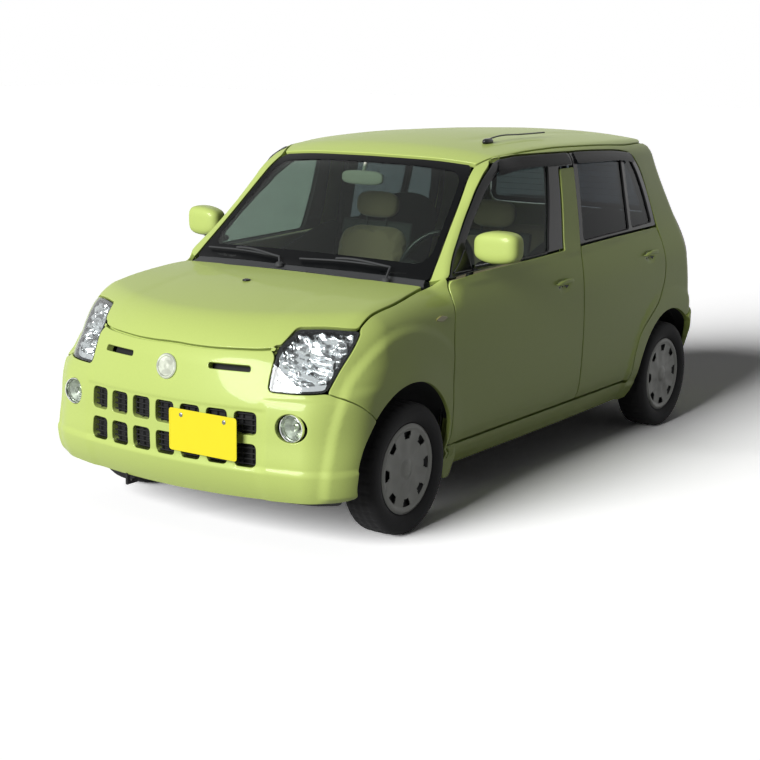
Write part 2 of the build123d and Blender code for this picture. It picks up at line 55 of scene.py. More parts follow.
# ---- driving dimensions, metres -----------------------------------------------------------------
WRAP_R = .735            # radius of the sheet where it turns round the nose and the tail
WRAP_FRONT, WRAP_REAR = -1.1, 1.2    # where the turns begin
TURN = WRAP_R * math.pi / 2
FRONT_ARCH = (-1.098, .285, .336)    # y, z and radius
REAR_ARCH = (1.300, .280, .322)
ARCH_LEG_Y = -.790                   # the front arch's rear leg
SILL_Z, DOOR_Z = .190, .292
GAP, FIXED_GAP = .0050, .0034
HUB_Z, TYRE_R, TRACK = .266, .266, .6475
AXLES = {"front": -1.065, "rear": 1.295}
SIDES = {"left": 1.0, "right": -1.0}


# ---- curves and blends --------------------------------------------------------------------------
def smooth_curve(knots: Pairs, x: Array) -> Array:
    """A cubic through (knot, value) pairs, each slope the spacing-weighted mean of its neighbours'.

    Args:
        knots: (x, value) pairs in rising x.
        x: where to read the curve; beyond the ends it runs on straight.

    Returns:
        The values at x.
    """
    k, v = np.array(knots, float).T
    h = np.diff(k)
    d = np.diff(v) / h
    m = np.concatenate([d[:1], (d[:-1] * h[1:] + d[1:] * h[:-1]) / (h[1:] + h[:-1]), d[-1:]])
    x = np.asarray(x, float)
    i = np.clip(np.searchsorted(k, x) - 1, 0, len(k) - 2)
    t = (x - k[i]) / h[i]
    cubic = ((2 * t**3 - 3 * t**2 + 1) * v[i] + (t**3 - 2 * t**2 + t) * h[i] * m[i] + (3 * t**2 - 2 * t**3)
        * v[i + 1] + (t**3 - t**2) * h[i] * m[i + 1])
    before, after = v[0] + (x - k[0]) * m[0], v[-1] + (x - k[-1]) * m[-1]
    return np.where(x < k[0], before, np.where(x > k[-1], after, cubic))


def step(a: float, b: float, x: Array) -> Array:
    """0 at a, 1 at b and 3t^2 - 2t^3 between."""
    t = np.clip((x - a) / (b - a), 0.0, 1.0)
    return t * t * (3 - 2 * t)


def fillet(f: Array, g: Array, r: Array) -> Array:
    """The smaller of two depths, the edge between them rounded to r: r less the length of both lacks."""
    return np.where((f < r) & (g < r), r - np.hypot(np.maximum(r - f, 0), np.maximum(r - g, 0)),
        np.minimum(f, g))


@dataclass(frozen=True)
class Skin:
    """The car's outer form. Each table is (place, value) pairs that smooth_curve joins."""

    half: Pairs = ((.16, .628), (.20, .655), (.24, .681), (.275, .698), (.30, .708), (.36, .722),
        (.45, .731), (.55, .7355), (.65, .7375), (.75, .734), (.85, .7245), (.93, .7085), (.98, .696),
        (1.04, .683), (1.15, .6665), (1.30, .6455), (1.45, .6225), (1.55, .6065))
    bumper_half: Pairs = ((.16, .700), (.20, .716), (.25, .728), (.36, .734), (.45, .735), (.65, .7385),
        (.75, .736))
    nose: Pairs = ((.16, -1.585), (.20, -1.618), (.24, -1.645), (.33, -1.684), (.45, -1.692), (.58, -1.688),
        (.68, -1.670), (.775, -1.648), (.86, -1.620), (1.0, -1.560))
    nose_sweep: Pairs = ((.20, .044), (.25, .046), (.45, .065), (.60, .074), (.68, .090), (.775, .115),
        (.86, .130), (1.0, .140))
    bonnet: Pairs = ((-1.80, .770), (-1.65, .838), (-1.55, .874), (-1.45, .900), (-1.35, .920),
        (-1.20, .944), (-1.05, .960), (-.90, .969), (-.80, .972))
    screen: Pairs = ((.20, -.90), (.70, -.95), (.86, -.94), (.93, -.893), (.96, -.860), (1.10, -.694),
        (1.25, -.519), (1.418, -.330), (1.50, -.240))
    roof: Pairs = ((-.50, 1.405), (-.33, 1.442), (-.20, 1.466), (0, 1.488), (.25, 1.4990), (.60, 1.4965),
        (1.0, 1.485), (1.33, 1.469), (1.45, 1.459), (1.60, 1.440))
    tail: Pairs = ((.16, 1.610), (.22, 1.650), (.32, 1.687), (.45, 1.6972), (.58, 1.694), (.70, 1.688),
        (.85, 1.678), (.95, 1.665), (1.05, 1.643), (1.20, 1.596), (1.35, 1.536), (1.45, 1.490),
        (1.55, 1.440))
    flare: Pairs = ((0, .464), (.35, .470), (.56, .494), (.75, .520), (1.0, .540), (1.25, .560),
        (1.57, .560), (2.0, .550), (2.6, .520), (3.2, .500))

    def side(self, y: Array, z: Array) -> Array:
        """Half width: the side's profile in z, filled out at the bumper and drawn in fore and aft."""
        w = smooth_curve(self.half, z)
        full = smooth_curve(self.bumper_half, np.minimum(z, .75))
        w = w + np.maximum(full - w, 0) * step(-.80, -1.25, y) * step(.75, .65, z)
        up = step(.85, 1.40, z)
        low, back = np.maximum(y - .45, 0) / 1.2, np.maximum(y - .35, 0)
        front, fore = np.maximum(-1.0 - y, 0) / .6, np.maximum(.30 - y, 0) / .60
        w = w - .018 * low**2 * (1 - up) - .078 * back**2 * up - .006 * front**2 * step(.5, .8, z)
        return w - up * .042 * np.minimum(fore, 1.75)**2 * step(-1.0, -.6, y)

    def depth(self, p: Array) -> Array:
        """How far points lie inside the form, in metres, near its surface.

        The nose and the bonnet meet in a fillet, as do the windscreen and the roof; the larger of
        the two is taken softly, then filleted with the side and with the tail.
        """
        x, y, z = np.abs(p[..., 0]), p[..., 1], p[..., 2]
        nose = smooth_curve(self.nose, z) + smooth_curve(self.nose_sweep, z) * (x / .4975)**2.1
        bonnet = (smooth_curve(self.bonnet, y) - .020 * (x / .6)**2 - .010 * (x / .6)**4 * step(-1.1, -1.5,
            y))
        screen = smooth_curve(self.screen, z) + .075 * (x / .62)**2
        roof = smooth_curve(self.roof, y) - .026 * (x / .45)**2.2
        tail = smooth_curve(self.tail, z) - .038 * (x / .55)**2.2
        front = fillet((y - nose) * .97, (bonnet - z) * .97, .12)
        upper = fillet((y - screen) * .655, roof - z, .07)
        h = np.clip(.5 + .5 * (front - upper) / .03, 0, 1)
        top = upper + (front - upper) * h + .03 * h * (1 - h)
        high = .026 + .044 * step(-.35, -.05, y)
        r = .15 + .03 * step(.615, .65, z) - .08 * step(.70, .86, z)
        r = r + (high - r) * step(.93, 1.0, z)
        f = fillet((self.side(y, z) - x) * (1 - .042 * step(.95, 1.1, z)), top, r)
        return fillet(f, (tail - y) * (1 - .07 * step(.95, 1.1, z)), .11)

    def normal(self, p: Array) -> Array:
        """Outward directions: the depth's slope by differences of a millimetre, turned round."""
        e = np.eye(3) * .001
        n = np.stack([self.depth(p - d) - self.depth(p + d) for d in e], -1)
        return n / np.linalg.norm(n, axis=-1, keepdims=True)

    def swell(self, p: Array) -> Array:
        """Pressed forms on the sheet metal, outwards: arch flares, the belt's and the sill's ledges.

        A flare is 12 mm high at its arch and ends in a soft hollow at its crease, whose distance
        from the arch's centre is a curve of the angle; the ledges are short S-steps in height.
        """
        s, z = Wrap.SIDE.flatten(p).T
        out = np.abs(p[:, 0])
        dy, dz = s - FRONT_ARCH[0], z - FRONT_ARCH[1]
        angle = np.arctan2(np.maximum(dz, -.02), -dy)
        inside = smooth_curve(self.flare, angle) - np.hypot(dy, dz)
        band = .0120 * step(-.006, .036, inside) * step(2.5, 1.5, angle) * step(.225, .26, z)
        round_arch = .0045 * step(.115, .0, np.hypot(dy, dz) - FRONT_ARCH[2])
        far = np.hypot(s - REAR_ARCH[0], z - REAR_ARCH[1])
        rear = .010 * step(.130, .095, far - REAR_ARCH[2]) * step(.75, .60, z)
        lip = .007 * step(.352, .335, z) * step(-.85, -1.35, s)
        sill = .006 * (step(.288, .276, z) - step(.35, .300, z)) * step(-.80, -.76, s) * step(1.0, .94, s)
        return np.where(out > .30, band + round_arch + rear + sill, 0.0) + lip


class Wrap(Enum):
    """Ways a flat sheet is laid round the car. Flat coordinates are (along, up) or (x, y)."""

    SIDE = "side"      # along is y, then round the nose and the tail
    NOSE = "nose"      # along is round the nose from the centre line
    TAIL = "tail"      # along is round the tail from the centre line
    FRONT = "front"    # (x, z), met from behind
    BACK = "back"      # (x, z), met from ahead
    TOP = "top"        # (x, y), met from below
    CORNER = "corner"  # across and up, met at 45 degrees to the nose and the left side

    def rays(self, flat: Array) -> tuple[Array, Array]:
        """Start points inside the car and directions outwards of a sheet's points."""
        a, b = flat[:, 0], flat[:, 1]
        zero, one = np.zeros_like(a), np.ones_like(a)
        if self is Wrap.SIDE:
            turn = (np.minimum(a - WRAP_FRONT, 0) + np.maximum(a - WRAP_REAR, 0)) / WRAP_R
            return (np.stack([zero, np.clip(a, WRAP_FRONT, WRAP_REAR), b], 1),
                np.stack([np.cos(turn), np.sin(turn), zero], 1))
        if self in (Wrap.NOSE, Wrap.TAIL):
            sign, start = (-1, WRAP_FRONT) if self is Wrap.NOSE else (1, WRAP_REAR)
            return (np.stack([zero, start * one, b], 1),
                np.stack([np.sin(a / WRAP_R), sign * np.cos(a / WRAP_R), zero], 1))
        if self is Wrap.FRONT:
            return np.stack([a, np.where(b > .93, -.2, -1.0), b], 1), np.stack([zero, -one, zero], 1)
        if self is Wrap.BACK:
            return np.stack([a, .9 * one, b], 1), np.stack([zero, one, zero], 1)
        if self is Wrap.CORNER:
            k = math.sqrt(.5)
            return np.stack([a * k + .10, a * k - .10, b], 1), np.stack([k * one, -k * one, zero], 1)
        return np.stack([a, b, np.where(b < -.95, .6, .8)], 1), np.stack([zero, zero, one], 1)

    def flatten(self, p: Array) -> Array:
        """The sheet's coordinates of points in space."""
        x, y, z = np.abs(p[:, 0]), p[:, 1], p[:, 2]
        if self is Wrap.SIDE:
            fore, aft = np.arctan2(WRAP_FRONT - y, x), np.arctan2(y - WRAP_REAR, x)
            return np.stack([np.where(y < WRAP_FRONT, WRAP_FRONT - WRAP_R * fore,
                np.where(y > WRAP_REAR, WRAP_REAR + WRAP_R * aft, y)), z], 1)
        if self is Wrap.NOSE:
            return np.stack([WRAP_R * np.arctan2(p[:, 0], WRAP_FRONT - y), z], 1)
        if self is Wrap.TAIL:
            return np.stack([WRAP_R * np.arctan2(p[:, 0], y - WRAP_REAR), z], 1)
        if self is Wrap.TOP:
            return p[:, :2].copy()
        if self is Wrap.CORNER:
            return np.stack([(p[:, 0] + y) * math.sqrt(.5), z], 1)
        return p[:, [0, 2]].copy()


SKIN = Skin()


def meet(wrap: Wrap, flat: Array, swell: bool = True, lift: float = 0.0) -> Array:
    """Points of the sheet carried out to the skin by halving 34 times the stretch that crosses it.

    Args:
        wrap: how the sheet lies.
        flat: (n, 2) sheet coordinates.
        swell: whether the pressed forms are added along the skin's normal.
        lift: a further distance outwards along the normal.

    Returns:
        (n, 3) points.
    """
    start, way = wrap.rays(flat)
    near, far = np.zeros(len(flat)), np.full(len(flat), 1.25)
    for _ in range(34):
        middle = (near + far) / 2
        within = SKIN.depth(start + way * middle[:, None]) > 0
        near, far = np.where(within, middle, near), np.where(within, far, middle)
    p = start + way * far[:, None]
    out = (SKIN.swell(p) if swell else np.zeros(len(p))) + lift
    return p + SKIN.normal(p) * out[:, None]


# ---- outlines -----------------------------------------------------------------------------------
def resample(points: Array, pitch: float) -> Array:
    """A path through points, each coordinate a smooth_curve of the distance run, at an even pitch."""
    points = np.asarray(points, float)
    run = np.concatenate([[0], np.cumsum(np.linalg.norm(np.diff(points, axis=0), axis=1))])
    at = np.linspace(0, run[-1], max(2, int(round(run[-1] / pitch)) + 1))
    return np.stack([smooth_curve(np.stack([run, c], 1), at) for c in points.T], 1)


def arc(centre: Sequence[float], r: float, a0: float, a1: float, pitch: float = .008) -> Array:
    """Points on a circle from angle a0 to a1, in degrees."""
    n = max(3, int(abs(math.radians(a1 - a0)) * r / pitch))
    t = np.radians(np.linspace(a0, a1, n))
    return np.stack([centre[0] + r * np.cos(t), centre[1] + r * np.sin(t)], 1)


def closed(sides: Sequence[Pairs], corner: float | Sequence[float] = .008, pitch: float = .007) -> Array:
    """One closed outline from the paths of its sides, each corner a quadratic curve.

    Args:
        sides: paths that follow each other; a path of three or more points is smooth.
        corner: reach of the corner after each side, one for all or one each.
        pitch: spacing of the points.

    Returns:
        (n, 2) points, the first not repeated.
    """
    paths = [resample(np.asarray(side, float), pitch / 2) for side in sides]
    reach = [corner] * len(paths) if isinstance(corner, (int, float)) else list(corner)
    out = []
    for i, path in enumerate(paths):
        nxt, prev = paths[(i + 1) % len(paths)], paths[i - 1]
        tip, root = (path[-1] + nxt[0]) / 2, (path[0] + prev[-1]) / 2
        keep = ((np.linalg.norm(path - tip, axis=1) > reach[i]) & (np.linalg.norm(path - root,
            axis=1) > reach[i - 1]))
        body = path[keep] if keep.any() else path[len(path) // 2:][:1]
        after = nxt[np.linalg.norm(nxt - tip, axis=1) > reach[i]]
        end = after[0] if len(after) else nxt[len(nxt) // 2]
        t = np.linspace(0, 1, max(3, int(reach[i] * 1.6 / pitch) + 2))[1:-1, None]
        out += [body, body[-1] * (1 - t)**2 + 2 * tip * t * (1 - t) + end * t**2]
    loop = np.concatenate(out)
    run = np.concatenate([loop, loop[:1]])
    d = np.concatenate([[0], np.cumsum(np.linalg.norm(np.diff(run, axis=0), axis=1))])
    at = np.linspace(0, d[-1], int(d[-1] / pitch) + 1)[:-1]
    return np.stack([np.interp(at, d, c) for c in run.T], 1)


def box_outline(a0: float, a1: float, b0: float, b1: float, r: float = .01, pitch: float = .006) -> Array:
    """A rectangle with round corners."""
    c = [(a0, b0), (a1, b0), (a1, b1), (a0, b1)]
    return closed([(c[i], c[(i + 1) % 4]) for i in range(4)], r, pitch)


def outward(loop: Array) -> Array:
    """Unit directions out of a closed outline, from the line between each point's neighbours."""
    d = np.roll(loop, -1, 0) - np.roll(loop, 1, 0)
    area = np.sum(loop[:, 0] * np.roll(loop[:, 1], -1) - np.roll(loop[:, 0], -1) * loop[:, 1])
    n = np.stack([d[:, 1], -d[:, 0]], 1) * np.sign(area)
    return n / np.maximum(np.linalg.norm(n, axis=1, keepdims=True), 1e-9)


def grow(loop: Array, by: float) -> Array:
    """An outline moved outwards, or inwards where by is negative."""
    return loop + outward(loop) * by


def inside(points: Array, loop: Array) -> Array:
    """Which points lie inside a closed outline: an odd number of its edges cross a line to the right."""
    a, b = loop, np.roll(loop, -1, 0)
    found = np.zeros(len(points), bool)
    for i in range(0, len(points), 4000):
        x, y = points[i:i + 4000, :1], points[i:i + 4000, 1:]
        spans = (a[:, 1] > y) != (b[:, 1] > y)
        at = a[:, 0] + (y - a[:, 1]) * (b[:, 0] - a[:, 0]) / np.where(b[:, 1] == a[:, 1], 1e-12,
            b[:, 1] - a[:, 1])
        found[i:i + 4000] = (np.sum(spans & (x < at), 1) % 2).astype(bool)
    return found


def clearance(points: Array, loop: Array) -> Array:
    """Distance of points from the nearest point of an outline."""
    return np.concatenate([np.min(np.linalg.norm(points[i:i + 2000, None] - loop[None], axis=2), 1)
        for i in range(0, len(points), 2000)]) if len(points) else np.zeros(0)


# ---- meshes -------------------------------------------------------------------------------------
@dataclass
class Shell:
    """Points, faces and the normal at each face's corner, gathered patch by patch."""

    points: list[Array] = field(default_factory=list)
    faces: list[tuple[Array, Array]] = field(default_factory=list)
    count: int = 0

    def add(self, points: Array) -> Array:
        """Adds points and gives their numbers."""
        self.points.append(np.array(points, float).reshape(-1, 3))
        first, self.count = self.count, self.count + len(self.points[-1])
        return np.arange(first, self.count)

    def patch(self, faces: Array, normals: Array) -> None:
        """Adds faces of one size with (faces, corners, 3) normals, turned so that they face along them."""
        p = np.concatenate(self.points)[faces]
        way = np.cross(p[:, 1] - p[:, 0], p[:, 2] - p[:, 0])
        if faces.shape[1] == 4:
            way = np.cross(p[:, 2] - p[:, 0], p[:, 3] - p[:, 1])
        turned = np.sum(way * normals.sum(1), 1) < 0
        faces, normals = faces.copy(), normals.copy()
        faces[turned], normals[turned] = faces[turned, ::-1], normals[turned, ::-1]
        self.faces.append((faces, normals))

    def band(self, a: Array, b: Array, na: Array, nb: Array, ring: bool = True) -> None:
        """A strip of four-sided faces between two rows of points."""
        if ring:
            i, j = np.arange(len(a)), np.roll(np.arange(len(a)), -1)
        else:
            i, j = np.arange(len(a) - 1), np.arange(1, len(a))
        self.patch(np.stack([a[i], a[j], b[j], b[i]], 1), np.stack([na[i], na[j], nb[j], nb[i]], 1))

    def mesh(self, name: str, mirror: bool = False) -> bpy.types.Mesh:
        """The Blender mesh, mirrored in X if asked, with its normals set."""
        points = np.concatenate(self.points)
        faces, normals = [], []
        for f, n in self.faces:
            if mirror:
                f, n = f[:, ::-1], n[:, ::-1]
            faces += f.tolist()
            normals.append(n.reshape(-1, 3))
        normals = np.concatenate(normals)
        if mirror:
            points, normals = points * (-1, 1, 1), normals * (-1, 1, 1)
        mesh = bpy.data.meshes.new(name)
        mesh.from_pydata(points.tolist(), [], faces)
        mesh.polygons.foreach_set("use_smooth", np.ones(len(mesh.polygons), bool))
        mesh.update()
        mesh.normals_split_custom_set(normals)
        return mesh


def grid_shell(rows: Array, ring_u: bool = False, ring_v: bool = False, caps: bool = False,
        shell: Optional[Shell] = None) -> Shell:
    """A shell on a grid of points (n rows, m columns, 3), its normals from the grid's own slopes.

    Args:
        rows: the grid.
        ring_u: whether the last row joins the first.
        ring_v: whether the last column joins the first.
        caps: whether the first and last rows are closed by fans about their middles.
        shell: a shell to add to.

    Returns:
        The shell.
    """
    shell = shell or Shell()
    n, m = rows.shape[:2]

    def slope(axis: int, ring: bool) -> Array:
        """Steps of the grid along one axis."""
        if ring:
            return np.roll(rows, -1, axis) - np.roll(rows, 1, axis)
        return np.gradient(rows, axis=axis)
    normal = np.cross(slope(0, ring_u), slope(1, ring_v))
    size = np.linalg.norm(normal, axis=2, keepdims=True)
    normal = normal / np.maximum(size, 1e-12)
    number = shell.add(rows.reshape(-1, 3)).reshape(n, m)
    i = np.arange(n if ring_u else n - 1)
    j = np.arange(m if ring_v else m - 1)
    a, b = np.meshgrid(i, j, indexing="ij")
    c, d = (a + 1) % n, (b + 1) % m
    quads = np.stack([number[a, b], number[c, b], number[c, d], number[a, d]], -1).reshape(-1, 4)
    corners = np.stack([normal[a, b], normal[c, b], normal[c, d], normal[a, d]], -2).reshape(-1, 4, 3)
    shell.faces.append((quads, corners))
    if caps:
        for row, far in ((0, 1), (n - 1, n - 2)):
            middle = rows[row].mean(0)
            way = middle - rows[far].mean(0)
            way = way / max(np.linalg.norm(way), 1e-9)
            tip = shell.add(middle)[0]
            ring = shell.add(rows[row])
            jj = np.arange(m)
            fan = np.stack([ring[jj], ring[(jj + 1) % m], np.full(m, tip)], 1)
            shell.patch(fan, np.broadcast_to(way, (m, 3, 3)).copy())
    return shell


@dataclass
class Panel:
    """A closed sheet-metal or plastic panel on the skin.

    Its outer face follows the skin inside the outline less the rim; the rim turns a quarter round,
    goes straight in to the panel's thickness and the inner face closes it.
    """

    wrap: Wrap
    outline: Array
    holes: Sequence[Array] = ()
    thick: float | Callable[[Array], Array] = .012
    rim: float = .003
    lift: float = 0.0
    swell: bool = True
    spacing: float = .020
    shape: Optional[Callable[[Array, Array], Array]] = None   # (points, flat) -> outward distance

    def outer(self, flat: Array) -> Array:
        """Outer face points of sheet coordinates."""
        p = meet(self.wrap, flat, self.swell, self.lift)
        if self.shape is not None:
            p = p + SKIN.normal(p) * self.shape(p, flat)[:, None]
        return p

    def normals(self, flat: Array, p: Array) -> Array:
        """The outer face's normals: the cross product of its steps of 1.5 mm each way on the sheet."""
        e = .0015
        du = self.outer(flat + (e, 0)) - self.outer(flat - (e, 0))
        dv = self.outer(flat + (0, e)) - self.outer(flat - (0, e))
        n = np.cross(du, dv)
        n = n / np.maximum(np.linalg.norm(n, axis=1, keepdims=True), 1e-12)
        guide = SKIN.normal(p)
        return n * np.sign(np.sum(n * guide, 1))[:, None]

    def build(self, shell: Optional[Shell] = None) -> Shell:
        """The panel's shell."""
        shell = shell or Shell()
        loops = [grow(self.outline, -self.rim)] + [grow(h, self.rim) for h in self.holes]
        low, high = self.outline.min(0), self.outline.max(0)
        a, b = np.meshgrid(np.arange(low[0], high[0], self.spacing),
            np.arange(low[1], high[1], self.spacing * .87), indexing="ij")
        a = a + (np.arange(a.shape[1]) % 2) * self.spacing / 2
        grid = np.stack([a.ravel(), b.ravel()], 1)
        grid = grid[inside(grid, loops[0])]
        for hole in loops[1:]:
            grid = grid[~inside(grid, hole)]
        for loop in loops:
            grid = grid[clearance(grid, loop) > self.spacing * .45]
        flat = np.concatenate(loops + [grid])
        edges, at = [], 0
        for loop in loops:
            edges += [(at + i, at + (i + 1) % len(loop)) for i in range(len(loop))]
            at += len(loop)
        found, _, tris, origin, _, _ = delaunay_2d_cdt([tuple(p) for p in flat], edges, [], 0, 1e-7)
        found = np.array([tuple(p) for p in found])
        tris = np.array([t for t in tris if len(t) == 3])
        middle = found[tris].mean(1)
        keep = inside(middle, loops[0])
        for hole in loops[1:]:
            keep &= ~inside(middle, hole)
        tris = tris[keep]
        number = np.full(len(flat), -1)
        for new, olds in enumerate(origin):
            number[list(olds)] = new
        p = self.outer(found)
        n = self.normals(found, p)
        outer = shell.add(p)
        thick = self.thick(p) if callable(self.thick) else np.full(len(p), self.thick)
        deep = shell.add(p - SKIN.normal(p) * thick[:, None])
        shell.patch(outer[tris], n[tris])
        shell.patch(deep[tris], -n[tris])
        at = 0
        for k, loop in enumerate(loops):
            ids = number[at:at + len(loop)]
            at += len(loop)
            way = outward(loop) * (1 if k == 0 else -1)
            beside = self.outer(loop + way * .002)
            t = beside - p[ids]
            t = t - n[ids] * np.sum(t * n[ids], 1)[:, None]
            t = t / np.maximum(np.linalg.norm(t, axis=1, keepdims=True), 1e-9)
            before, n_before = outer[ids], n[ids]
            for turn in (.5, 1.0):
                s, c = math.sin(turn * math.pi / 2), math.cos(turn * math.pi / 2)
                ring = shell.add(p[ids] + t * self.rim * s - n[ids] * self.rim * (1 - c))
                n_ring = n[ids] * c + t * s
                shell.band(before, ring, n_before, n_ring)
                before, n_before = ring, n_ring
            floor = shell.add(p[ids] + t * self.rim - SKIN.normal(p[ids]) * thick[ids][:, None])
            shell.band(before, floor, t, t)
            shell.band(floor, deep[ids], -n[ids], -n[ids])
        return shell


# ---- finishes -----------------------------------------------------------------------------------
class Graph:
    """Short words for a material's nodes."""

    def __init__(self, name: str) -> None:
        """Starts an empty material with an output."""
        self.material = bpy.data.materials.new(name)
        self.material.use_nodes = True
        self.tree = self.material.node_tree
        self.tree.nodes.clear()
        self.out = self.tree.nodes.new("ShaderNodeOutputMaterial")

    def node(self, kind: str, sockets: Optional[dict] = None, **settings: object) -> bpy.types.Node:
        """Adds a node; sockets are values or other nodes' outputs, settings are its properties."""
        node = self.tree.nodes.new("ShaderNode" + kind)
        for key, value in settings.items():
            setattr(node, key, value)
        for key, value in (sockets or {}).items():
            if isinstance(value, bpy.types.NodeSocket):
                self.tree.links.new(value, node.inputs[key])
            else:
                node.inputs[key].default_value = value
        return node

    def place(self, scale: Sequence[float] = (1, 1, 1)) -> bpy.types.NodeSocket:
        """Object coordinates times a scale."""
        where = self.node("TexCoord")
        return self.node("Mapping", {"Vector": where.outputs["Object"], "Scale": scale}).outputs[0]

    def noise(self, scale: float, detail: float = 2.0,
            where: Optional[bpy.types.NodeSocket] = None) -> bpy.types.NodeSocket:
        """Noise of a scale per metre, on object coordinates or a given place."""
        return self.node("TexNoise", {"Vector": where or self.place(), "Scale": scale,
            "Detail": detail}).outputs["Fac"]

    def ramp(self, fac: bpy.types.NodeSocket, stops: Sequence[tuple]) -> bpy.types.NodeSocket:
        """A colour ramp from (place, colour) stops."""
        node = self.node("ValToRGB", {"Fac": fac})
        band = node.color_ramp
        while len(band.elements) < len(stops):
            band.elements.new(.5)
        for element, (at, colour) in zip(band.elements, stops):
            element.position = at
            element.color = (*colour, 1) if len(colour) == 3 else colour
        return node.outputs["Color"]

    def span(self, fac: bpy.types.NodeSocket, low: float, high: float) -> bpy.types.NodeSocket:
        """A 0 to 1 value carried to low to high."""
        return self.node("MapRange", {"Value": fac, "To Min": low, "To Max": high}).outputs[0]

    def bump(self, height: bpy.types.NodeSocket, distance: float,
            strength: float = 1.0) -> bpy.types.NodeSocket:
        """A normal from a height."""
        return self.node("Bump", {"Height": height, "Distance": distance, "Strength": strength}).outputs[0]

    def principled(self, **sockets: object) -> bpy.types.Node:
        """A Principled shader to the output; names have _ for a space."""
        named = {key.replace("_", " "): value for key, value in sockets.items()}
        shader = self.node("BsdfPrincipled", named)
        self.tree.links.new(shader.outputs[0], self.out.inputs[0])
        return shader


def rgb(r: float, g: float, b: float) -> tuple[float, float, float, float]:
    """A colour of screen values 0 to 255 as linear light."""
    def linear(c: float) -> float:
        """One channel as linear light."""
        c /= 255
        return c / 12.92 if c <= .04045 else ((c + .055) / 1.055)**2.4
    return (linear(r), linear(g), linear(b), 1.0)


@dataclass(frozen=True)
class CarPaint:
    """Pearl lacquer: a coloured base with fine flakes under a thin clear coat."""

    name: str = "lime_pearl"
    colour: tuple = rgb(157, 172, 94)
    metallic: float = .03
    roughness: float = .48
    coat: float = .17
    specular: float = .12

    def make(self) -> bpy.types.Material:
        """Builds the material."""
        g = Graph(self.name)
        flakes = g.node("TexVoronoi", {"Vector": g.place(), "Scale": 900.0}).outputs["Color"]
        grey = g.node("RGBToBW", {"Color": flakes}).outputs[0]
        tone = g.node("HueSaturation", {"Color": self.colour, "Value": g.span(grey, .94, 1.06)})
        ripple = g.bump(g.noise(9.0, 2.0), .0004, .25)
        g.principled(Base_Color=tone.outputs[0], Metallic=self.metallic, Roughness=self.roughness,
            Specular_IOR_Level=self.specular, Coat_Weight=self.coat, Coat_Roughness=.07, Coat_IOR=1.5,
            Normal=g.bump(grey, .0002, .10), Coat_Normal=ripple)
        return g.material


@dataclass(frozen=True)
class Grained:
    """Plastic, rubber, steel or cloth: a colour with a soft mottle, its roughness and bump grained."""

    name: str
    colour: tuple
    roughness: float = .5
    metallic: float = 0.0
    grain: float = 900.0
    depth: float = .0002
    mottle: float = .10
    coat: float = 0.0
    sheen: float = 0.0
    specular: float = .2

    def make(self) -> bpy.types.Material:
        """Builds the material."""
        g = Graph(self.name)
        soft = g.noise(14.0, 3.0)
        fine = g.noise(self.grain, 2.0)
        tone = g.node("HueSaturation",
            {"Color": self.colour, "Value": g.span(soft, 1 - self.mottle, 1 + self.mottle)})
        g.principled(Base_Color=tone.outputs[0], Metallic=self.metallic,
            Roughness=g.span(fine, self.roughness * .85, min(1.0, self.roughness * 1.12)),
            Specular_IOR_Level=self.specular, Coat_Weight=self.coat, Coat_Roughness=.08,
            Sheen_Weight=self.sheen, Sheen_Roughness=.4, Normal=g.bump(fine, self.depth, .6))
        return g.material


@dataclass(frozen=True)
class Woven:
    """Seat cloth: warp and weft threads as two crossed waves on object coordinates."""

    name: str
    colour: tuple
    thread: float = .0016

    def make(self) -> bpy.types.Material:
        """Builds the material."""
        g = Graph(self.name)
        size = 1 / self.thread
        waves = [g.node("TexWave", {"Vector": g.place(), "Scale": size / 6.0, "Distortion": .4,
            "Detail": 1.0}, bands_direction=d).outputs["Fac"] for d in "XZ"]
        weave = g.node("Math", {0: waves[0], 1: waves[1]}, operation="MULTIPLY").outputs[0]
        tone = g.node("HueSaturation",
            {"Color": self.colour, "Value": g.span(g.noise(30.0, 4.0), .85, 1.15)})
        dark = g.node("HueSaturation", {"Color": tone.outputs[0], "Value": g.span(weave, .78, 1.1)})
        g.principled(Base_Color=dark.outputs[0], Roughness=.9, Sheen_Weight=.35, Sheen_Roughness=.45,
            Normal=g.bump(weave, .0005, .5))
        return g.material


@dataclass(frozen=True)
class Glazing:
    """Tinted window glass: clear but for a mirror whose share is low + (high - low)(1 - cos)^5.

    Each of a pane's two faces takes the square root of the pane's tint.
    """

    name: str
    tint: tuple
    low: float = .014
    high: float = .70
    roughness: float = .0

    def make(self) -> bpy.types.Material:
        """Builds the material."""
        g = Graph(self.name)
        facing = g.node("LayerWeight", {"Blend": .5}).outputs["Facing"]
        steep = g.node("Math", {0: facing, 1: 5.0}, operation="POWER").outputs[0]
        fresnel = g.span(steep, self.low, self.high)
        smear = g.span(g.noise(6.0, 3.0), .92, 1.0)
        face = tuple(math.sqrt(c) for c in self.tint)
        tint = g.node("HueSaturation", {"Color": face, "Value": smear}).outputs[0]
        clear = g.node("BsdfTransparent", {"Color": tint}).outputs[0]
        gloss = g.node("BsdfGlossy", {"Color": (1, 1, 1, 1), "Roughness": self.roughness}).outputs[0]
        mix = g.node("MixShader", {0: fresnel, 1: clear, 2: gloss})
        g.tree.links.new(mix.outputs[0], g.out.inputs[0])
        return g.material


